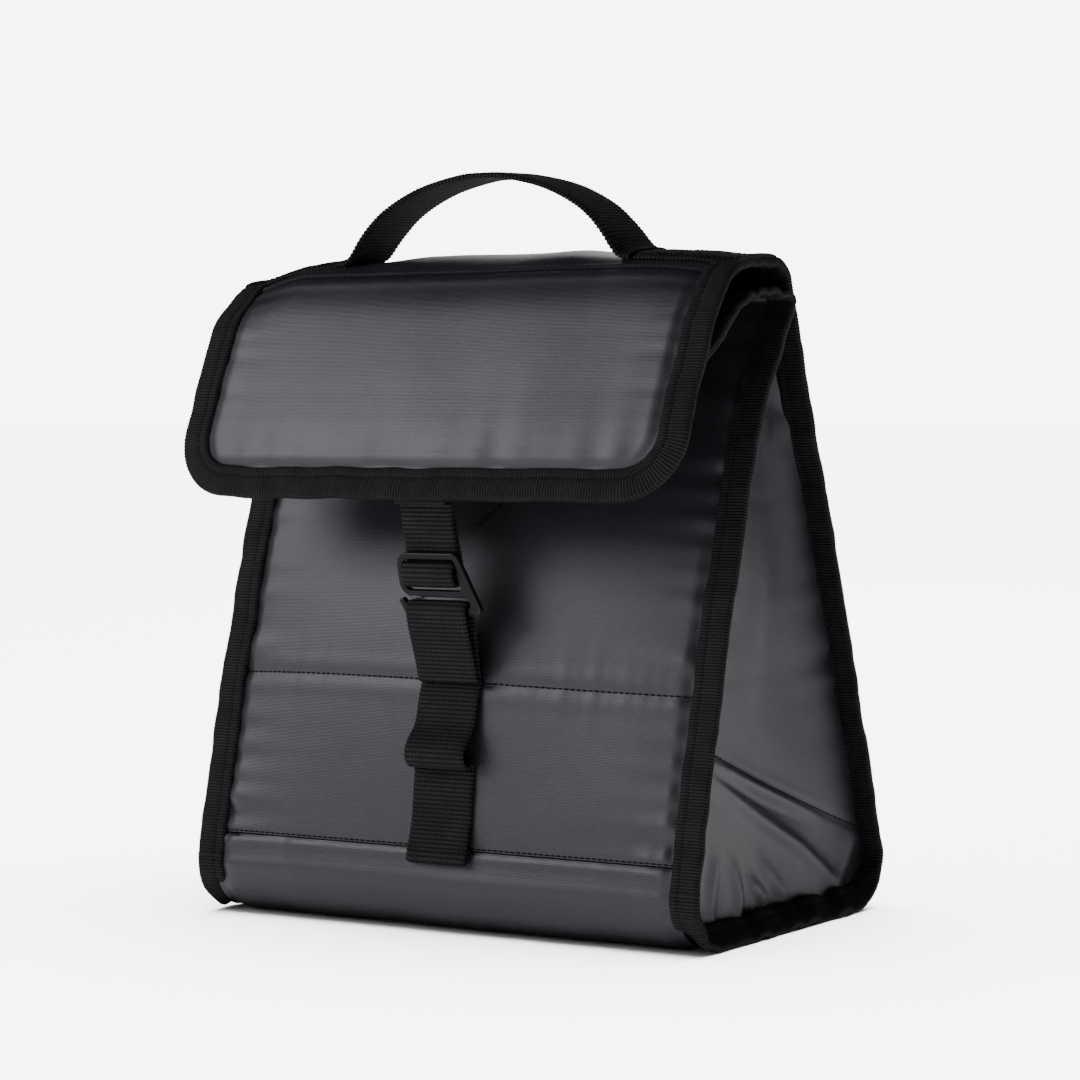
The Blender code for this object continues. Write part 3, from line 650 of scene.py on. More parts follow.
def frontCrown(x, z):
    across = np.clip(1.0 - (x / bag["tapeInnerX"]) ** 2, 0.0, 1.0)
    up = np.clip((z - 0.032) / (0.214 - 0.032), 0.0, 1.0)
    return frontWallSizes["crown"] * across * np.sin(np.pi * up)


def frontLift(x, z):
    # everything that stands off the plain wall line
    sizes = frontWallSizes
    edge = bag["tapeInnerX"] - np.abs(x)
    lift = frontCrown(x, z)
    lift = lift - sizes["edgeDip"] * (1.0 - ramp(-0.0005, 0.0045, edge))
    seam = np.abs(z - bag["middleStitch"] + 0.0008 * np.sin(x * 21.0))
    swell = sizes["middleSwell"] * np.exp(-((seam - 0.0045) / 0.0026) ** 2)
    lift = lift - sizes["middleDip"] * np.exp(-(seam / 0.0016) ** 2) + swell
    lift = lift + puckers(seam, x, sizes["middlePucker"], 0.009, 11)
    low = z - bag["lowerStitch"]
    lift = lift - sizes["lowerDip"] * np.exp(-(low / 0.0012) ** 2)
    lift = lift + puckers(low, x, sizes["lowerPucker"], 0.010, 12)
    lift = lift + puckers(edge, z, sizes["sidePucker"], 0.011, 13)
    return lift + sizes["slack"] * softNoise(x, z, 0.075, 15) * ramp(0.0, 0.02, edge) * ramp(0.0, 0.02, low)


def makeFrontWall():
    sizes = frontWallSizes
    path = resample(wallLine(True, bag["lowerStitch"] + 0.0002, bag["frontTop"], 400),
                    (bag["frontTop"] - bag["lowerStitch"]) / sizes["rows"])
    t = np.linspace(-1.0, 1.0, sizes["columns"])
    t = np.sign(t) * (1.0 - (1.0 - np.abs(t)) ** 1.25)
    z = np.repeat(path[:, 1:2], len(t), axis=1)
    xs = t[None, :] * bag["seamX"] + 0 * z
    lift = frontLift(xs, z)
    edge = bag["tapeInnerX"] - np.abs(xs)
    padding = ramp(0.0, 0.008, edge) * (1.0 - ramp(bag["foamTop"] - 0.006, bag["foamTop"] + 0.004, z))
    thick = bag["shell"] + bag["wallFoam"] * padding
    wall = profileSheet("frontWall", path, 1.0, xs, lift, thick)
    dress(wall, "coated_fabric", "bag_body", ["front_panel", "front_foam"])
    return wall


frontWall = makeFrontWall()
print("front wall", len(frontWall.data.polygons), "faces")


def frontPoint(x, z, proud=0.0):
    x, z = np.broadcast_arrays(np.asarray(x, float), np.asarray(z, float))
    slope = (frontY(z + 1e-4) - frontY(z - 1e-4)) / 2e-4
    length = np.hypot(1.0, slope)
    lift = frontLift(x, z) + proud
    return np.stack([x, frontY(z) - lift / length, z + slope * lift / length], axis=-1)


# base
baseSizes = dict(columns=130, step=0.0014, edgeDip=0.0010, seamDip=0.0005, piping=0.00055,
                 sidePucker=0.0006, seamPucker=0.0003, slack=0.00025, settle=0.0004,
                 paddingHalfDepth=0.0400)


def makeBase():
    sizes = baseSizes
    path = resample(wrapLine(bag["lowerStitch"] - 0.0002, bag["lowerStitch"] - 0.0002), sizes["step"])
    t = np.linspace(-1.0, 1.0, sizes["columns"])
    xs = np.repeat(t[None, :] * bag["seamX"], len(path), axis=0)
    s = arcLength(path)[:, None] + 0 * xs
    total = s.max()
    edge = bag["tapeInnerX"] - np.abs(xs)
    ends = np.minimum(s, total - s)
    lift = -sizes["edgeDip"] * (1.0 - ramp(-0.0005, 0.0045, edge))
    lift = lift - sizes["seamDip"] * np.exp(-(ends / 0.0012) ** 2)
    lift = lift + sizes["piping"] * np.exp(-((ends - 0.0020) / 0.0011) ** 2)
    floorShare = 1.0 - ramp(0.010, 0.030, np.abs(s - total / 2) - 0.030)
    wander = puckers(edge, s, sizes["sidePucker"], 0.010, 21)
    wander = wander + puckers(ends, xs, sizes["seamPucker"], 0.012, 22)
    lift = lift + wander * (1.0 - floorShare)
    lift = lift + sizes["slack"] * softNoise(xs, s, 0.05, 23) * (1.0 - floorShare)
    lift = lift - sizes["settle"] * floorShare * (0.5 + 0.5 * softNoise(xs, s, 0.045, 24))
    foamEnd = sizes["paddingHalfDepth"]
    beyondFoam = ramp(foamEnd, foamEnd + 0.0035, np.abs(path[:, 0:1]) + 0 * xs)
    padding = ramp(0.002, 0.010, edge) * (1.0 - beyondFoam)
    thick = bag["shell"] + bag["wallFoam"] * padding
    base = profileSheet("basePanel", path, -1.0, xs, lift, thick)
    dress(base, "coated_fabric", "bag_body", ["base_panel", "base_foam"])


makeBase()

# back wall and the top of the roll
topLine = fairCurve(topProfile, 0.0026)
splitAt = int(np.argmin(np.hypot(topLine[:, 0] + 0.0330, topLine[:, 1] - 0.2338)))
rollLine = topLine[:splitAt + 1]
flapLine = topLine[splitAt:]
flapLength = arcLength(flapLine)[-1]


backSizes = dict(columns=130, step=0.0014, crown=0.0030, edgeDip=0.0010, sidePucker=0.0006,
                 seamPucker=0.0003, slack=0.00045, foldPucker=0.00035, rollFoam=0.0041, rollBulge=0.0024)


def makeBackAndRoll():
    sizes = backSizes
    path = np.vstack([wallLine(False, bag["lowerStitch"] + 0.0002, 0.2205, 300), rollLine])
    path = resample(path, sizes["step"])
    xs = np.repeat(np.linspace(-1.0, 1.0, sizes["columns"])[None, :] * bag["seamX"], len(path), axis=0)
    z = path[:, 1:2] + 0 * xs
    s = arcLength(path)[:, None] + 0 * xs
    edge = bag["tapeInnerX"] - np.abs(xs)
    onBack = 1.0 - ramp(0.205, 0.222, z)
    across = np.clip(1.0 - (xs / bag["tapeInnerX"]) ** 2, 0.0, 1.0)
    up = np.clip((z - 0.032) / 0.185, 0.0, 1.0)
    lift = sizes["crown"] * across * np.sin(np.pi * up) * onBack
    lift = lift - sizes["edgeDip"] * (1.0 - ramp(-0.0005, 0.0045, edge))
    seamPuckers = puckers(z - bag["lowerStitch"], xs, sizes["seamPucker"], 0.010, 32)
    lift = lift + puckers(edge, s, sizes["sidePucker"], 0.012, 31) + seamPuckers
    lift = lift + sizes["slack"] * softNoise(xs, s, 0.060, 33) * ramp(0.0, 0.02, edge)
    fold = arcLength(rollLine)[-1]
    toSplit = s.max() - s
    foldPuckers = puckers(np.abs(s - (s.max() - fold)), xs, sizes["foldPucker"], 0.014, 34)
    lift = lift + foldPuckers * (toSplit > 0.004)
    onRoll = s - (s.max() - fold)
    bulge = np.sin(np.pi * np.clip(onRoll / fold, 0.0, 1.0)) * (1.0 - ramp(0.030, 0.056, np.abs(xs)))
    lift = lift * ramp(-0.001, 0.006, toSplit) + sizes["rollBulge"] * bulge * (onRoll > 0.0)
    wallFoam = bag["wallFoam"] * (1.0 - ramp(0.166, 0.176, z)) * (s < s.max() - fold)
    rollFoam = sizes["rollFoam"] * ramp(fold * 0.22, fold * 0.42, s - (s.max() - fold))
    thick = bag["shell"] + (wallFoam + rollFoam) * ramp(0.0, 0.008, edge)
    piece = profileSheet("backWallAndRoll", path, -1.0, xs, lift, thick)
    dress(piece, "coated_fabric", blendRoll,
          ["back_panel", "back_foam", "roll_panel", "roll_foam", "roll_lining"])


makeBackAndRoll()
print("base, back and roll")


# flap
flapSizes = dict(radius=0.024, crown=0.0050, foam=0.0041, tape=0.0110, stitchDown=0.0030, cloth=0.0013,
                 rows=96, cornerRows=26, columns=170, edgeDip=0.0010, stitchDip=0.00055, stitchSwell=0.0004,
                 stitchPucker=0.00016, lowPucker=0.00048, sidePucker=0.00022, slack=0.00025)


def flapHalf(distance, inset):
    radius = flapSizes["radius"]
    into = np.clip(distance - (flapLength - radius), 0.0, radius - inset - 1e-6)
    rounded = bag["halfWidth"] - radius + np.sqrt(np.maximum((radius - inset) ** 2 - into ** 2, 0.0))
    return np.where(distance > flapLength - radius, rounded, bag["halfWidth"] - inset)


def flapBulge(x, distance):
    across = np.clip(1.0 - (x / bag["halfWidth"]) ** 2, 0.0, 1.0)
    return flapSizes["crown"] * across * np.sin(np.pi / 2 * np.clip(distance / flapLength, 0.0, 1.0))


flapDistances = arcLength(flapLine)
flapNormals = outwardNormals(flapLine, -1.0)


def flapPoint(x, distance, lift):
    # a point on the flap: bulged forward, then lifted off along the line's own normal
    x, distance, lift = np.broadcast_arrays(x, distance, lift)
    y = np.interp(distance, flapDistances, flapLine[:, 0])
    z = np.interp(distance, flapDistances, flapLine[:, 1])
    ny = np.interp(distance, flapDistances, flapNormals[:, 0])
    nz = np.interp(distance, flapDistances, flapNormals[:, 1])
    over = np.maximum(distance - flapLength, 0.0)
    y = y - flapBulge(x, distance) + ny * lift + over * 0.30
    return np.stack([x, y, z + nz * lift - over * 0.95], axis=-1)


def flapLift(x, distance, edge):
    sizes = flapSizes
    stitch = np.abs(distance - sizes["stitchDown"])
    lift = -sizes["edgeDip"] * (1.0 - ramp(-0.0005, 0.0050, edge))
    swell = sizes["stitchSwell"] * np.exp(-((stitch - 0.004) / 0.0022) ** 2)
    lift = lift - sizes["stitchDip"] * np.exp(-(stitch / 0.0010) ** 2) + swell
    lift = lift + puckers(stitch, x, sizes["stitchPucker"], 0.012, 41)
    low = flapLength - sizes["tape"] - distance
    sidePuckers = puckers(edge, distance, sizes["sidePucker"], 0.012, 43)
    lift = lift + puckers(low, x, sizes["lowPucker"], 0.013, 42) + sidePuckers
    lift = lift + sizes["slack"] * softNoise(x, distance, 0.075, 44) * ramp(0.0, 0.02, edge)
    return lift * ramp(-0.0005, 0.0015, distance)


def makeFlap():
    inset = flapSizes["tape"] - 0.003
    corner = flapSizes["cornerRows"]
    straight = np.linspace(0.0, flapLength - flapSizes["radius"], flapSizes["rows"] - corner)
    radius = flapSizes["radius"] - inset
    angles = np.linspace(0.0, math.radians(87), corner + 1)[1:]
    distances = np.concatenate([straight, flapLength - flapSizes["radius"] + radius * np.sin(angles)])
    half = flapHalf(distances, inset)
    t = np.linspace(-1.0, 1.0, flapSizes["columns"])
    xs = half[:, None] * t[None, :]
    d = distances[:, None] + 0 * xs
    sideEdge = flapHalf(d, flapSizes["tape"]) - np.abs(xs)
    lowEdge = flapLength - flapSizes["tape"] - d
    edge = np.minimum(sideEdge, lowEdge)
    lift = flapLift(xs, d, edge)
    padding = ramp(-0.001, 0.008, edge)
    thick = flapSizes["cloth"] + flapSizes["foam"] * padding * ramp(-0.001, 0.0, d)
    outer = flapPoint(xs, d, lift)
    inner = flapPoint(xs, d, lift - thick)
    uv = np.stack([xs, d, np.ones_like(xs)], axis=-1)
    flap = closedSheet("flapPad", outer, inner, uv)
    dress(flap, "coated_fabric", blendFlap, ["flap_panel", "flap_foam", "flap_lining"])


def edgePath(inset):
    # the flap's U-shaped edge as (x, distance down), from one end to the other
    radius = flapSizes["radius"]
    side = flapLength - radius
    angles = np.linspace(0.0, math.pi / 2, 60)
    xLeft = bag["halfWidth"] - radius + (radius - inset) * np.cos(angles)
    dLeft = side + (radius - inset) * np.sin(angles)
    half = [(bag["halfWidth"] - inset, d) for d in np.linspace(0.0, side, 60)[:-1]]
    half += list(zip(xLeft, dLeft))
    half = np.array(half)
    mirrored = half[::-1] * np.array([-1.0, 1.0])
    return np.vstack([half, mirrored])


flapRows = []
bagRows = []
rollRows = []
mouthRows = []
lowerRows = []


bindingSizes = dict(width=0.0112, thick=0.0028, thickTop=0.0031, step=0.00027, samples=21, groove=0.0019,
                    toMiddle=0.0055, sink=0.0010, baseTilt=math.radians(36.0))


def makeFlapBinding():
    sizes = bindingSizes
    middle = resample(edgePath(sizes["toMiddle"]), sizes["step"])
    s = arcLength(middle)
    wobble = 0.00030 * lineNoise(s, 0.030, 51)
    direction = unit(np.gradient(middle, axis=0))
    inward = np.stack([direction[:, 1], -direction[:, 0]], axis=1)
    flip = np.where((inward * (np.array([0.0, 0.03]) - middle)).sum(axis=1) < 0, -1.0, 1.0)
    inward = inward * flip[:, None]
    centreFlat = middle + inward * wobble[:, None]
    depth = -0.00115
    centre = flapPoint(centreFlat[:, 0], centreFlat[:, 1], depth + 0.00018 * lineNoise(s, 0.018, 52))
    outerSide = centreFlat - inward * 0.003
    innerSide = centreFlat + inward * 0.003
    innerSide = flapPoint(innerSide[:, 0], innerSide[:, 1], depth)
    outerSide = flapPoint(outerSide[:, 0], outerSide[:, 1], depth)
    across = unit(innerSide - outerSide)
    along = unit(np.gradient(centre, axis=0))
    normal = unit(np.cross(along, across))
    facing = np.where(normal[:, 1] * 0.9 - normal[:, 2] * 0.4 > 0, -1.0, 1.0)
    normal = normal * facing[:, None]
    groove = sizes["groove"]
    tape = sweepTape("flapBinding", centre, across, normal, sizes["width"], sizes["thickTop"],
                     sizes["samples"], groove=groove)
    wovenBinding(tape)
    dress(tape, "binding_tape", blendFlap, ["flap_binding"])
    flapRows.append((centre + across * groove + normal * 0.00135)[::6])


makeFlap()
makeFlapBinding()
print("flap")


# bound side seams
def makeSeamBinding(name, line, side, sideSign, body, replaced, rows, thick=bindingSizes["thick"],
                    crumple=0.0, crinkle=0.0, isMouth=False):
    # tape over a seam edge; it lies tilted where it meets the floor
    sizes = bindingSizes
    path = resample(line, sizes["step"])
    s = arcLength(path)
    normal2 = outwardNormals(path, side)
    seed = 60 + sideSign
    frontHalf = np.arange(len(path)) < np.argmin(path[:, 1]) if path[:, 1].min() < 0.1 else isMouth
    wobble = 0.00034 * softNoise(path[:, 0], path[:, 1], 0.030, seed)
    low = 1.0 - ramp(0.004, 0.020, path[:, 1])
    bumpy = (0.00016 + crumple * low) * softNoise(path[:, 0], path[:, 1], 0.011, seed + 3)
    wrinkles = softNoise(path[:, 0], path[:, 1], 0.0130, seed + 9)
    bumpy = bumpy + crinkle * ramp(0.214, 0.221, path[:, 1]) * wrinkles
    x = sideSign * (bag["halfWidth"] - sizes["toMiddle"] + flare(path[:, 1]) * frontHalf + wobble)
    if isMouth:
        x = x - sideSign * 0.0042 * (1.0 - ramp(0.1955, 0.2090, path[:, 1]))
    z = path[:, 1] + normal2[:, 1] * (np.maximum(bumpy, -0.0003) * (1 - low * 0.6) - sizes["sink"])
    centre = np.stack([x, path[:, 0] + normal2[:, 0] * (bumpy - sizes["sink"]), z], axis=1)
    tilt = sizes["baseTilt"] * (1.0 - ramp(0.0015, 0.0150, path[:, 1])) * sideSign
    lifted = (0.0050 * np.sin(np.abs(tilt)))[:, None]
    centre = centre - np.stack([0 * s, normal2[:, 0], normal2[:, 1]], axis=1) * lifted
    twist = tilt + (0.06 + 0.22 * low) * softNoise(path[:, 0], path[:, 1], 0.014, seed + 6)
    normal = np.stack([np.zeros(len(path)), normal2[:, 0], normal2[:, 1]], axis=1)
    xAxis = np.tile(np.array([[1.0, 0.0, 0.0]]), (len(path), 1))
    across = unit(xAxis * np.cos(twist)[:, None] + normal * np.sin(twist)[:, None])
    normal = unit(normal * np.cos(twist)[:, None] - xAxis * np.sin(twist)[:, None])
    groove = -sizes["groove"] * sideSign
    tape = sweepTape(name, centre, across, normal, sizes["width"], thick, sizes["samples"], groove=groove)
    wovenBinding(tape)
    rows.append((centre + across * groove + normal * (thick / 2 - 0.00022))[::6])
    for vertex in tape.data.vertices:
        vertex.co.z = max(vertex.co.z, 0.0001)
    dress(tape, "binding_tape", body, replaced)


rollEdgeStart = wallLine(False, 0.2142, 0.2205, 12)
for side, sign in (("Left", -1), ("Right", 1)):
    low = side.lower()
    makeSeamBinding("sideBinding" + side, wrapLine(0.2126, 0.2142), -1.0, sign, "bag_body",
                    ["side_binding_" + low], bagRows, crumple=0.0005)
    makeSeamBinding("rollBinding" + side, np.vstack([rollEdgeStart, rollLine]), -1.0, sign, blendRoll,
                    ["roll_binding_" + low], rollRows, thick=0.0032, crinkle=0.0003)
print("seam bindings")

# folded mouth under the roll
mouthCurve = fairCurve([tuple(p) for p in wallLine(True, 0.2124, 0.2165, 3)] + mouthProfile, 0.0008)
mouthSplit = int(np.argmin(np.hypot(mouthCurve[:, 0] + 0.0265, mouthCurve[:, 1] - 0.2215)))


def makeMouth():
    parts = (("mouthUpper", mouthCurve[:mouthSplit + 1], blendMouth, "upper"),
             ("mouthLower", mouthCurve[mouthSplit:], blendMouthFlap, "lower"))
    for name, line, body, word in parts:
        path = resample(line, 0.0012)
        xs = np.repeat(np.linspace(-1.0, 1.0, 90)[None, :] * bag["seamX"], len(path), axis=0)
        s = arcLength(path)[:, None] + 0 * xs
        edge = bag["tapeInnerX"] - np.abs(xs)
        lift = 0.0004 * softNoise(xs, s, 0.03, 81) - 0.0006
        lift = lift + puckers(edge, s, 0.0005, 0.009, 82)
        sheetPiece = profileSheet(name, path, 1.0, xs, lift, 0 * xs + 0.0012)
        dress(sheetPiece, "coated_fabric", body, ["mouth_panel_" + word])
        for side, sign in (("Left", -1), ("Right", 1)):
            makeSeamBinding(name + "Binding" + side, line, 1.0, sign, body,
                            ["mouth_binding_" + word + "_" + side.lower()],
                            mouthRows if word == "upper" else lowerRows, crinkle=0.0008, isMouth=True)


makeMouth()
print("mouth")

# side walls
gussetCreases = [
    # line of (y, z), width, height
    ([(-0.0385, 0.0638), (0.0078, 0.0465), (0.0339, 0.0367)], 0.0034, 0.0017),
    ([(-0.0403, 0.0594), (-0.0071, 0.0417), (0.0222, 0.0266), (0.0526, 0.0061)], 0.0030, 0.0019),
    ([(-0.0342, 0.0302), (-0.0400, 0.0108)], 0.0040, 0.0012),
    ([(-0.0240, 0.0270), (-0.0150, 0.0090)], 0.0030, 0.0012),
    ([(-0.0095, 0.0185), (0.0012, 0.0095)], 0.0026, 0.0014),
    ([(0.0591, 0.0277), (0.0448, 0.0072)], 0.0036, 0.0012),
    ([(-0.0020, 0.0240), (0.0160, 0.0080)], 0.0028, 0.0010),
    ([(0.0020, 0.1500), (0.0000, 0.1180), (-0.0040, 0.0900)], 0.0085, 0.0012),
    ([(-0.0020, 0.2050), (-0.0060, 0.1850), (-0.0080, 0.1700)], 0.0035, 0.0016),
    ([(0.0090, 0.1840), (0.0060, 0.1740), (-0.0060, 0.1640)], 0.0040, 0.0014),
]
gussetSeam = [(-0.0425, 0.0679), (-0.0031, 0.0524), (0.0340, 0.0386), (0.0601, 0.0286)]


gussetSizes = dict(plane=0.1006, low=0.0030, high=0.2105, rows=190, columns=110, inset=0.0022, pull=0.0046,
                   pullTop=0.0052, foam=0.0053, footPucker=0.0010, sidePucker=0.0005, slack=0.0005)


def gussetDepth(y, z):
    # how far the side wall lies inside the seam plane
    front = frontY(z)
    back = backY(z)
    middle = (front + back) / 2
    half = np.maximum((back - front) / 2, 1e-4)
    across = np.clip(np.abs(y - middle) / half, 0.0, 1.0)
    pulled = gussetSizes["pull"] + gussetSizes["pullTop"] * ramp(0.130, 0.205, z)
    bowl = np.cos(math.pi / 2 * across) ** (0.9 - 0.25 * ramp(0.15, 0.21, z))
    depth = pulled * bowl + 0.0004
    for line, width, height in gussetCreases:
        depth = depth - ridge(y, z, line, width, height)
    seam = [(-0.0425, 0.0679), (0.0601, 0.0286)]
    depth = depth + ridge(y, z, seam, 0.0016, 0.0009)
    dip = [(-0.0390, 0.0600), (0.0300, 0.0345)]
    depth = depth + ridge(y, z, [(p[0], p[1] - 0.0005) for p in dip], 0.0022, 0.0009)
    footPuckers = puckers(np.clip(z, 0.0, 1.0) - 0.004, y, gussetSizes["footPucker"], 0.010, 101)
    depth = depth + footPuckers * (1 - ramp(0.02, 0.05, z))
    depth = depth + puckers((1.0 - across) * half, z, gussetSizes["sidePucker"], 0.011, 102)
    depth = depth + gussetSizes["slack"] * softNoise(y, z, 0.05, 103) * np.sqrt(np.clip(1 - across, 0, 1))
    return np.maximum(depth, -0.0004)


def outlineAt(z, inset):
    # front and back edges of the side wall at a height, inside the rounded base corners
    z = np.asarray(z, float)
    frontArc, backArc = cornerArc(True, 60), cornerArc(False, 60)
    front = np.where(z > 0.0215, frontY(z), np.interp(z, frontArc[::-1, 1], frontArc[::-1, 0]))
    back = np.where(z > 0.0225, backY(z), np.interp(z, backArc[::-1, 1], backArc[::-1, 0]))
    return front + inset, back - inset


def makeGusset(side, sign):
    sizes = gussetSizes
    t = np.linspace(0.0, 1.0, sizes["rows"])
    z = sizes["low"] + (sizes["high"] - sizes["low"]) * t
    front, back = outlineAt(z, sizes["inset"])
    u = np.linspace(0.0, 1.0, sizes["columns"])
    ys = front[:, None] + (back - front)[:, None] * u[None, :]
    zs = z[:, None] + 0 * ys
    depth = gussetDepth(ys, zs)
    foam = (sizes["foam"] * ramp(0.006, 0.016, np.minimum(ys - front[:, None], back[:, None] - ys))
            * ramp(0.010, 0.018, zs) * (1.0 - ramp(0.146, 0.154, zs)))
    outer = np.stack([sign * (sizes["plane"] - depth), ys, zs], axis=-1)
    inner = np.stack([sign * (sizes["plane"] - depth - bag["shell"] - foam), ys, zs], axis=-1)
    uv = np.stack([ys, zs, np.ones_like(ys)], axis=-1)
    piece = closedSheet("sideWall" + side, outer, inner, uv)
    dress(piece, "coated_fabric", "bag_body", ["gusset_" + side.lower(), "gusset_foam_" + side.lower()])


for side, sign in (("Left", -1), ("Right", 1)):
    makeGusset(side, sign)
print("side walls")


# liner
linerSizes = dict(halfWidth=0.0925, film=0.0006, behindWall=0.0069, floorHalfWidth=0.090,
                  floorHalfDepth=0.044, floorHeight=0.0090, sideLow=0.0125, sideHigh=0.184,
                  sideInset=0.0090, behindSide=0.0072)


def makeLiner():
    sizes = linerSizes
    half = sizes["halfWidth"]
    for name, isFront in (("Front", True), ("Back", False)):
        path = resample(wallLine(isFront, 0.034, 0.198, 160), 0.0022)
        xs = np.repeat(np.linspace(-half, half, 70)[None, :], len(path), axis=0)
        z = path[:, 1:2] + 0 * xs
        xs = xs * (1.0 - 0.075 * ramp(0.110, 0.178, z))
        base = frontCrown(xs, z) if isFront else 0.0030 * np.clip(1 - (xs / 0.097) ** 2, 0, 1) * np.sin(
            np.pi * np.clip((z - 0.032) / 0.185, 0, 1))
        lift = base - sizes["behindWall"] + 0.00018 * softNoise(xs, z, 0.03, 111)
        side = 1.0 if isFront else -1.0
        piece = profileSheet("liner" + name, path, side, xs, lift, 0 * xs + sizes["film"])
        dress(piece, "liner", "bag_body", ["liner_" + name.lower()])
    rows = np.linspace(-sizes["floorHalfDepth"], sizes["floorHalfDepth"], 50)
    path = np.stack([rows, 0 * rows + sizes["floorHeight"]], axis=1)
    acrossFloor = np.linspace(-sizes["floorHalfWidth"], sizes["floorHalfWidth"], 80)
    xs = np.repeat(acrossFloor[None, :], len(path), axis=0)
    lift = 0.00012 * softNoise(xs, path[:, 0:1] + 0 * xs, 0.03, 112)
    piece = profileSheet("linerFloor", path, 1.0, xs, lift, 0 * xs + sizes["film"])
    dress(piece, "liner", "bag_body", ["liner_floor"])
    for side, sign in (("Left", -1), ("Right", 1)):
        z = np.linspace(sizes["sideLow"], sizes["sideHigh"], 90)
        front, back = outlineAt(z, sizes["sideInset"])
        u = np.linspace(0.0, 1.0, 50)
        ys = front[:, None] + (back - front)[:, None] * u[None, :]
        zs = z[:, None] + 0 * ys
        middle, span = (front + back) / 2, (back - front) / 2
        reach = np.clip(np.abs(ys - middle[:, None]) / (span[:, None] + 0.009), 0.0, 1.0)
        deepest = gussetSizes["pull"] + 0.0004 + 0.0046 * ramp(0.130, 0.205, zs)
        inward = deepest * np.cos(math.pi / 2 * reach)
        x = gussetSizes["plane"] - inward - sizes["behindSide"] + 0.0002 * softNoise(ys, zs, 0.03, 113)
        outer = np.stack([sign * x, ys, zs], axis=-1)
        inner = np.stack([sign * (x - sizes["film"]), ys, zs], axis=-1)
        piece = closedSheet("linerSide" + side, outer, inner, np.stack([ys, zs, 1 + 0 * ys], axis=-1))
        dress(piece, "liner", "bag_body", ["liner_side_" + side.lower()])


makeLiner()
board = bpy.data.objects["base_board"]
board.data.materials.clear()
board.data.materials.append(boardGrey)
print("liner")

# handle
handleShape = dict(width=0.0250, footWidth=0.0245, thick=0.0015, step=0.00036, acrossSamples=69,
                   footInner=0.0600, footOuter=0.1075, footHeight=0.2372)
handleArch = [(0.0640, 0.2384), (0.0590, 0.2398), (0.0520, 0.2470), (0.0420, 0.2552), (0.0270, 0.2622),
              (0.0100, 0.2662)]


def flatWebbing(name, line, normals, acrossVector, width, thick, closed=False):
    across = np.tile(np.array([acrossVector], float), (len(line), 1))
    obj = sweepTape(name, line, across, normals, width, thick, handleShape["acrossSamples"], closed)
    return wovenWebbing(obj)


def layOnRoll(obj, height, fade):
    # bends webbing over the roll's rounded top; fade is the height over which it lets go
    order = np.argsort(rollLine[:, 0])
    points = np.empty(len(obj.data.vertices) * 3)
    obj.data.vertices.foreach_get("co", points)
    points = points.reshape(-1, 3)
    drop = np.interp(points[:, 1], rollLine[order, 0], rollLine[order, 1]) - 0.2366
    points[:, 2] += drop * (1.0 - ramp(height, height + fade, points[:, 2]))
    obj.data.vertices.foreach_set("co", points.ravel())
    obj.data.update()


def makeHandle():
    half = np.array(handleArch + [(0.0, 0.2668)])
    full = np.vstack([half, (half[:-1] * np.array([-1.0, 1.0]))[::-1]])
    path = resample(smoothCurve(full, 16), handleShape["step"])
    d = unit(np.gradient(path, axis=0))
    s = arcLength(path)
    lean = 0.0010 * lineNoise(s, 0.08, 121)
    centre = np.stack([path[:, 0], handleCentre["y"] + lean, path[:, 1] - 0.0002], axis=1)
    normals = np.stack([d[:, 1], 0 * s, -d[:, 0]], axis=1)
    normals = normals * np.where(normals[:, 2] < 0, -1.0, 1.0)[:, None]
    strap = flatWebbing("handleArch", centre, normals, (0.0, 1.0, 0.0), handleShape["width"],
                        handleShape["thick"])
    layOnRoll(strap, 0.2385, 0.012)
    dress(strap, "webbing", blendHandle, ["handle_arch", "handle_leg_left", "handle_leg_right"])
    for side, sign in (("Left", -1), ("Right", 1)):
        x = np.linspace(handleShape["footInner"], handleShape["footOuter"], 133)
        z = handleShape["footHeight"] + 0.0002 * np.sin(x * 300.0) + 0 * x
        centre = np.stack([sign * x, 0 * x + handleCentre["y"], z], axis=1)
        normals = np.tile(np.array([[0.0, 0.0, 1.0]]), (len(x), 1))
        foot = flatWebbing("handleFoot" + side, centre, normals, (0.0, 1.0, 0.0), handleShape["footWidth"],
                           handleShape["thick"])
        layOnRoll(foot, 0.2385, 0.012)
        dress(foot, "webbing", "roll", ["handle_foot_" + side.lower()])


makeHandle()
print("handle")

# webbing ladder, strap and hook
ladder = dict(rows=(0.0575, 0.0870), width=0.0250, thick=0.0014, loopThick=0.0013, strapWidth=0.0215)


def yzNormals(path, side):
    n = outwardNormals(path, side)
    return np.stack([0 * n[:, 0], n[:, 0], n[:, 1]], axis=1)


def ladderStrip(name, points, steps=14):
    path = resample(smoothCurve(points, steps), 0.00036)
    centre = np.stack([0 * path[:, 0] + closure["x"], path[:, 0], path[:, 1]], axis=1)
    normals = yzNormals(path, 1.0)
    return flatWebbing(name, centre, normals, (1.0, 0.0, 0.0), ladder["width"], ladder["thick"])


def onFront(z, proud):
    return tuple(float(v) for v in frontPoint(closure["x"], z, proud)[1:])


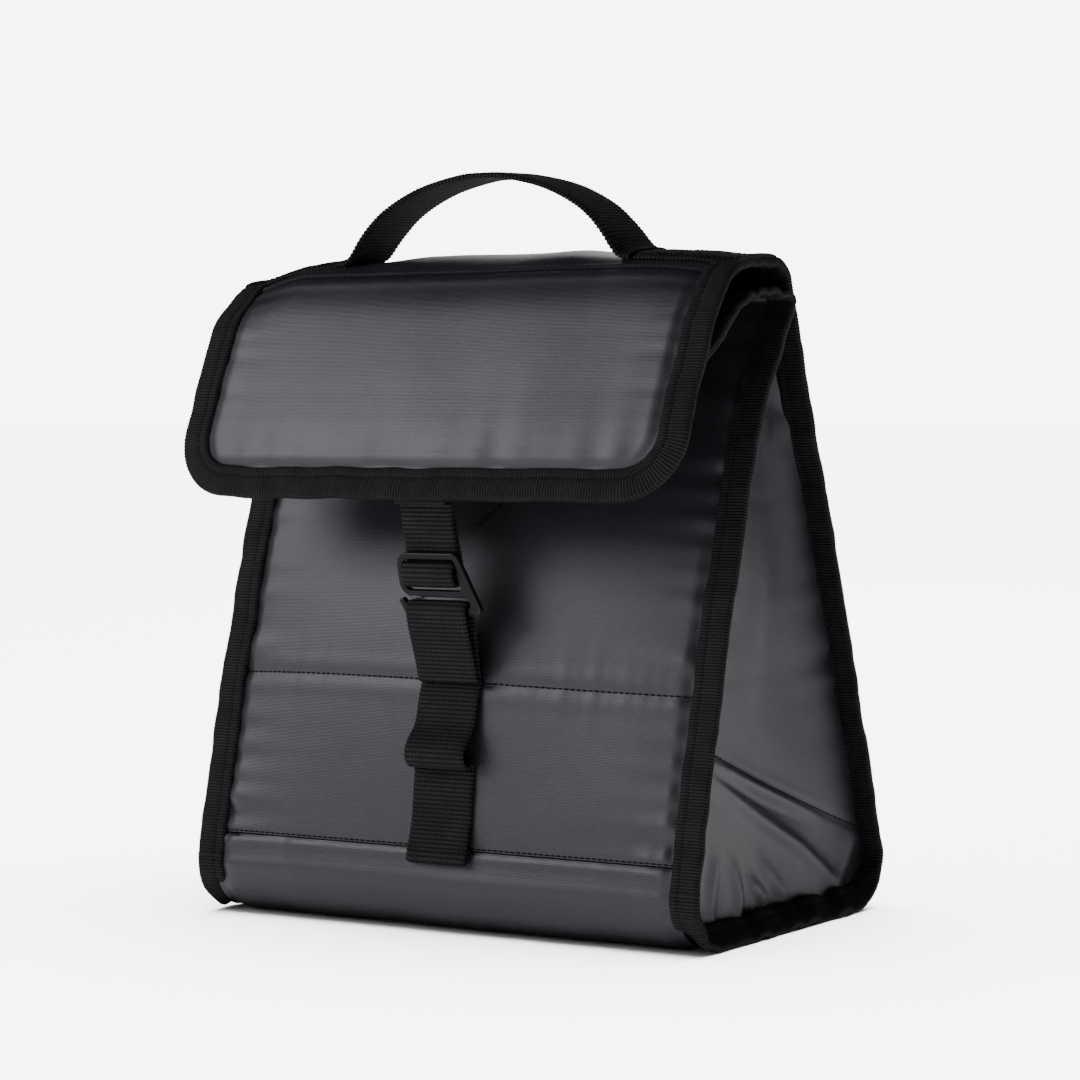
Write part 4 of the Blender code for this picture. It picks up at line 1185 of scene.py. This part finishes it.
def makeLadder():
    lower, upper = ladder["rows"]
    # (height, how far it stands off the wall), from the hem under the foot to the first stitch row
    footPlaces = [(0.0305, 0.0010), (0.0272, 0.0012), (0.0256, 0.0018), (0.0256, 0.0028), (0.0275, 0.0030),
                  (0.0320, 0.0026), (0.0400, 0.0012), (0.0500, 0.0011), (lower, 0.0009)]
    foot = [onFront(z, proud) for z, proud in footPlaces]
    wall = onFront(0.063, 0.0)[0]
    slack = [onFront(lower + 0.0004, 0.0011), onFront(0.0590, 0.0020), (wall - 0.0052, 0.0592),
             (wall - 0.0076, 0.0612), (wall - 0.0080, 0.0645), (wall - 0.0062, 0.0678),
             onFront(0.0700, 0.0036), onFront(0.0735, 0.0024), onFront(0.0800, 0.0017),
             onFront(upper, 0.0011)]
    foot = ladderStrip("ladderFoot", foot)
    dress(foot, "webbing", "bag_body", ["ladder_foot"])
    slack = ladderStrip("ladderSlackLoop", slack)
    dress(slack, "webbing", "bag_body", ["ladder_slack_loop"])


def strapLine(points):
    # from the strap's own plane to (y, z) of the bag
    c, s = math.cos(closure["lean"]), math.sin(closure["lean"])
    p = np.array(points, float)
    y = closure["y"] + p[:, 0] * c - p[:, 1] * s
    return np.stack([y, closure["z"] + p[:, 0] * s + p[:, 1] * c], axis=1)


def makeHookedLoop():
    turn, top, bottom = 0.00255, -0.0102, -0.0385
    ring = [(-0.0010, bottom), (-0.0016, bottom + 0.010), (-turn, bottom + 0.020), (-turn, top - turn)]
    ring += [(-turn * math.cos(a), top - turn + turn * math.sin(a)) for a in np.linspace(0, math.pi, 9)[1:]]
    ring += [(turn, bottom + 0.020), (0.0016, bottom + 0.010), (0.0010, bottom)]
    ring = np.array(ring + [ring[0]])
    path = resample(strapLine(ring), 0.00036)[:-1]
    centre = np.stack([0 * path[:, 0] + 0.0012 + closure["x"], path[:, 0], path[:, 1]], axis=1)
    loop = np.vstack([path[-1:], path, path[:1]])
    normals = yzNormals(loop, 1.0)[1:-1]
    piece = flatWebbing("ladderHookedLoop", centre, normals, (1.0, 0.0, 0.0), ladder["width"],
                        ladder["loopThick"], True)
    dress(piece, "webbing", "bag_body", ["ladder_hooked_loop"])


def makeStrap():
    width, thick = ladder["strapWidth"], ladder["loopThick"]
    run = [(0.0033, 0.0250), (0.0026, 0.0180), (0.0024, 0.0107)]
    turn = [(0.0024, 0.0108), (0.0024, 0.0066), (0.0016, 0.0038), (-0.0010, 0.0034), (-0.0024, 0.0012),
            (-0.0024, -0.0012), (-0.0010, -0.0034), (0.0022, -0.0034), (0.0044, 0.0000), (0.0044, 0.0108)]
    tail = [(0.0044, 0.0108), (0.0046, 0.0160), (0.0050, 0.0210)]
    for name, points, cad in (("strapRun", run, "strap_run"), ("strapTurn", turn, "strap_turn"),
                              ("strapTail", tail, "strap_tail")):
        path = resample(smoothCurve(strapLine(points), 12), 0.00036)
        centre = np.stack([0 * path[:, 0] + closure["x"], path[:, 0], path[:, 1]], axis=1)
        piece = flatWebbing(name, centre, yzNormals(path, 1.0), (1.0, 0.0, 0.0), width, thick)
        dress(piece, "webbing", "strap", [cad])
    distances = np.linspace(flapLength - 0.040, flapLength - 0.002, 12)
    under = flapPoint(closure["x"], distances, -0.0062)[:, 1:]
    path = np.vstack([under, [[-0.0709, 0.1520]]])
    path = resample(smoothCurve(path, 8), 0.00036)
    centre = np.stack([0 * path[:, 0] + closure["x"], path[:, 0], path[:, 1]], axis=1)
    anchor = flatWebbing("strapAnchor", centre, yzNormals(path, -1.0), (1.0, 0.0, 0.0), width, thick)
    dress(anchor, "webbing", "flap", ["strap_anchor"])


def roundedOutline(corners, steps=5):
    outline = []
    for i, (x, y, radius) in enumerate(corners):
        px, py, _ = corners[i - 1]
        nx, ny, _ = corners[(i + 1) % len(corners)]
        back = math.atan2(py - y, px - x)
        ahead = math.atan2(ny - y, nx - x)
        turn = (ahead - back + math.pi) % (2 * math.pi) - math.pi
        half = abs(turn) / 2
        reach = radius / math.tan(half)
        middle = back + turn / 2
        cx = x + radius / math.sin(half) * math.cos(middle)
        cy = y + radius / math.sin(half) * math.sin(middle)
        start = math.atan2(y + reach * math.sin(back) - cy, x + reach * math.cos(back) - cx)
        end = math.atan2(y + reach * math.sin(ahead) - cy, x + reach * math.cos(ahead) - cx)
        sweep = (end - start + math.pi) % (2 * math.pi) - math.pi
        outline += [(cx + radius * math.cos(start + sweep * k / steps),
                     cy + radius * math.sin(start + sweep * k / steps)) for k in range(steps + 1)]
    return outline


def makeHook():
    # flat metal hook: a window with a middle bar above an open lower bar, edges rounded
    shape = dict(thick=0.0024, edge=0.00055)
    # corners as (x, y, radius) in millimetres from the middle bar's centre
    body = [(-13.8, 8.0, 5.0), (12.4, 8.0, 3.0), (20.5, -14.4, 2.2), (-13.0, -14.4, 2.2),
            (-15.2, -9.0, 0.9), (-13.0, -8.6, 0.8), (-11.2, -11.4, 0.6), (15.8, -11.4, 1.0), (14.6, -8.0, 1.0),
            (-4.2, -8.0, 0.3), (-4.6, -8.8, 0.3), (-8.4, -8.8, 0.3), (-8.8, -8.0, 0.3), (-13.8, -8.0, 5.0)]
    upper = [(-11.4, 1.2, 0.4), (11.6, 1.2, 0.4), (11.0, 5.6, 1.0), (-11.4, 5.6, 3.0)]
    lower = [(-11.4, -1.2, 0.4), (-11.4, -5.6, 3.0), (12.6, -5.6, 1.0), (11.6, -1.2, 0.4)]
    curve = bpy.data.curves.new("hookShape", "CURVE")
    curve.dimensions = "2D"
    curve.fill_mode = "BOTH"
    curve.extrude = shape["thick"] / 2 - shape["edge"]
    curve.bevel_depth = shape["edge"]
    curve.bevel_resolution = 3
    curve.offset = -shape["edge"]
    for corners in (body, upper, lower):
        points = roundedOutline([(x / 1000, y / 1000, r / 1000) for x, y, r in corners])
        spline = curve.splines.new("POLY")
        spline.points.add(len(points) - 1)
        for point, (x, y) in zip(spline.points, points):
            point.co = (x, y, 0.0, 1.0)
        spline.use_cyclic_u = True
    temporary = newObject("hookCurve", curve)
    graph = bpy.context.evaluated_depsgraph_get()
    graph.update()
    mesh = bpy.data.meshes.new_from_object(temporary.evaluated_get(graph))
    bpy.data.objects.remove(temporary, do_unlink=True)
    place = Matrix.Translation((closure["x"], closure["y"], closure["z"]))
    mesh.transform(place @ Matrix.Rotation(closure["lean"] + math.pi / 2, 4, "X"))
    bm = bmesh.new()
    bm.from_mesh(mesh)
    bmesh.ops.remove_doubles(bm, verts=bm.verts, dist=1e-5)
    bmesh.ops.recalc_face_normals(bm, faces=bm.faces)
    bm.to_mesh(mesh)
    bm.free()
    mesh.polygons.foreach_set("use_smooth", [True] * len(mesh.polygons))
    mesh.set_sharp_from_angle(angle=math.radians(40))
    mesh.materials.clear()
    hook = newObject("hookPlate", mesh)
    dress(hook, "gunmetal", "g_hook", ["g_hook"])


makeLadder()
makeHookedLoop()
makeStrap()
makeHook()
print("closure")


# sewing
def rollHeight(y):
    order = np.argsort(rollLine[:, 0])
    return np.interp(y, rollLine[order, 0], rollLine[order, 1])


def sewEverything():
    xs = np.linspace(-0.0965, 0.0965, 300)
    rows = [frontPoint(xs, bag["middleStitch"] - 0.0008 * np.sin(xs * 21.0), 0.00012),
            frontPoint(xs, bag["lowerStitch"] + 0.0008, 0.00012)]
    arc = smoothCurve([(0.0175, 0.1540), (0.0120, 0.1490), (0.0082, 0.1455), (0.0039, 0.1410)], 8)
    rows.append(frontPoint(arc[:, 0], arc[:, 1], 0.00010))
    sewLines("frontStitches", rows, "bag_body")

    seamRows = list(bagRows)
    for sign in (-1, 1):
        seam = smoothCurve(gussetSeam, 20)
        depth = gussetDepth(seam[:, 0], seam[:, 1])
        seamX = sign * (gussetSizes["plane"] - depth + 0.00012)
        seamRows.append(np.stack([seamX, seam[:, 0], seam[:, 1]], axis=1))
    sewLines("seamStitches", seamRows, "bag_body")
    sewLines("rollStitches", rollRows, blendRoll)
    sewLines("mouthStitches", mouthRows, blendMouth)
    sewLines("lowerMouthStitches", lowerRows, blendMouthFlap)

    xs = np.linspace(-0.0955, 0.0955, 300)
    down = flapSizes["stitchDown"] + 0 * xs
    top = flapPoint(xs, down, flapLift(xs, down, 0.03 + 0 * xs))
    sewLines("flapStitches", [top + np.array([0.0, -0.0001, 0.0001])] + flapRows, blendFlap)

    feet = []
    for sign in (-1, 1):
        for dy in (-0.0105, 0.0105):
            x = np.linspace(0.0615, 0.1060, 30) * sign
            y = handleCentre["y"] + dy
            feet.append(np.stack([x, 0 * x + y, 0 * x + rollHeight(y) + 0.0016], axis=1))
        for x0 in (0.0622, 0.0820):
            y = handleCentre["y"] + np.linspace(-0.0105, 0.0105, 20)
            feet.append(np.stack([0 * y + sign * x0, y, rollHeight(y) + 0.0016], axis=1))
    sewLines("handleStitches", feet, "roll")

    bars = []
    for z in (ladder["rows"][0] - 0.0010, ladder["rows"][1] - 0.0008):
        for dz in (0.0, 0.0011):
            x = closure["x"] + np.linspace(-0.0118, 0.0118, 40)
            y, zz = onFront(z + dz, 0.0020)
            bars.append(np.stack([x, 0 * x + y, 0 * x + zz], axis=1))
    y, zz = onFront(0.0290, 0.0040)
    x = closure["x"] + np.linspace(-0.0118, 0.0118, 40)
    bars.append(np.stack([x, 0 * x + y, 0 * x + zz], axis=1))
    sewLines("ladderStitches", bars, "bag_body", pitch=0.0016)


sewEverything()
print("sewing")

# floor, light and camera
studio = dict(keyPower=11.0, fillPower=2.8, sidePower=1.05, backPower=7.0, floorSun=26.0, backdrop=9.0)


def makeStudio():
    mesh = bpy.data.meshes.new("floor")
    size = 6.0
    corners = [(-size, -size, 0), (size, -size, 0), (size, size, 0), (-size, size, 0)]
    mesh.from_pydata(corners, [], [(0, 1, 2, 3)])
    floor = newObject("floor", mesh)
    floor.location = (0.0, 0.0, -0.0004)
    white, tree, shader = newFinish("paleFloor", (0.84, 0.84, 0.84), 0.8)
    coords = node(tree, "ShaderNodeTexCoord").outputs["Object"]
    tone = noiseOn(tree, coords, 3.0, 2.0)
    pale = mixColors(tree, tone, (0.83, 0.83, 0.83), (0.86, 0.86, 0.86))
    tree.links.new(pale, shader.inputs["Base Color"])
    dim = node(tree, "ShaderNodeBsdfDiffuse")
    dim.inputs["Color"].default_value = (0.16, 0.16, 0.16, 1.0)
    seen = node(tree, "ShaderNodeLightPath")
    choose = node(tree, "ShaderNodeMixShader")
    tree.links.new(seen.outputs["Is Camera Ray"], choose.inputs[0])
    tree.links.new(dim.outputs[0], choose.inputs[1])
    tree.links.new(shader.outputs[0], choose.inputs[2])
    tree.links.new(choose.outputs[0], tree.nodes["Material Output"].inputs["Surface"])
    floor.data.materials.append(white)
    target = Vector((0.0, 0.0, 0.12))
    onlyFloor = bpy.data.collections.new("litByFloorLamp")
    onlyFloor.objects.link(floor)
    lights = (
        ("key", (-0.64, -0.63, 0.52), 1.5, 0.86, 0.90, studio["keyPower"], None),
        ("fill", (-0.15, -0.98, 0.24), 1.6, 1.00, 0.90, studio["fillPower"], None),
        ("side", (0.92, 0.34, 0.26), 1.5, 0.55, 0.70, studio["sidePower"], None),
        ("back", (-0.24, 0.93, 0.36), 1.6, 1.35, 0.95, studio["backPower"], None),
        ("floorSun", (0.05, 0.0, 1.0), 2.2, 0.0, 0.0, studio["floorSun"], onlyFloor),
    )
    for name, direction, distance, width, height, power, receivers in lights:
        data = bpy.data.lights.new(name, "AREA" if width else "SUN")
        data.energy = power
        if width:
            data.shape = "RECTANGLE"
            data.size = width
            data.size_y = height
        else:
            data.angle = math.radians(70.0)
        lamp = bpy.data.objects.new(name, data)
        bpy.context.scene.collection.objects.link(lamp)
        where = target + Vector(direction).normalized() * distance
        lamp.location = where
        lamp.visible_camera = False
        lamp.rotation_mode = "QUATERNION"
        lamp.rotation_quaternion = (where - target).to_track_quat("Z", "Y")
        if receivers:
            lamp.light_linking.receiver_collection = receivers
    world = bpy.data.worlds.new("studioSky")
    world.use_nodes = True
    bpy.context.scene.world = world
    tree = world.node_tree
    sky = tree.nodes["Background"]
    direction = node(tree, "ShaderNodeTexCoord").outputs["Generated"]
    split = node(tree, "ShaderNodeSeparateXYZ")
    tree.links.new(direction, split.inputs[0])
    shade = node(tree, "ShaderNodeValToRGB")
    shade.color_ramp.elements[0].position = 0.10
    shade.color_ramp.elements[0].color = (0.10, 0.10, 0.11, 1.0)
    shade.color_ramp.elements[1].position = 0.50
    shade.color_ramp.elements[1].color = (0.035, 0.035, 0.04, 1.0)
    tree.links.new(split.outputs[2], shade.inputs[0])
    tree.links.new(shade.outputs[0], sky.inputs["Color"])
    backdrop = node(tree, "ShaderNodeBackground")
    backdrop.inputs["Strength"].default_value = studio["backdrop"]
    seen = node(tree, "ShaderNodeLightPath")
    choose = node(tree, "ShaderNodeMixShader")
    tree.links.new(seen.outputs["Is Camera Ray"], choose.inputs[0])
    tree.links.new(sky.outputs[0], choose.inputs[1])
    tree.links.new(backdrop.outputs[0], choose.inputs[2])
    tree.links.new(choose.outputs[0], tree.nodes["World Output"].inputs["Surface"])


def makeCamera():
    view = dict(lens=117.26666666666667, turn=math.radians(34.50), tilt=math.radians(3.24), roll=math.radians(-1.04),
                place=(0.7266, -1.0531, 0.2075))
    a, e, r = view["turn"], view["tilt"], view["roll"]
    ahead = Vector((-math.sin(a) * math.cos(e), math.cos(a) * math.cos(e), -math.sin(e)))
    level = Vector((math.cos(a), math.sin(a), 0.0))
    above = level.cross(ahead)
    right = level * math.cos(r) + above * math.sin(r)
    up = above * math.cos(r) - level * math.sin(r)
    data = bpy.data.cameras.new("camera")
    data.lens = view["lens"]
    data.sensor_width = 36.0
    data.clip_end = 50.0
    camera = bpy.data.objects.new("camera", data)
    bpy.context.scene.collection.objects.link(camera)
    placed = Matrix.Identity(4)
    for k, column in enumerate((right, up, -ahead)):
        for row in range(3):
            placed[row][k] = column[row]
    placed.translation = view["place"]
    camera.matrix_world = placed
    bpy.context.scene.camera = camera


makeStudio()
makeCamera()
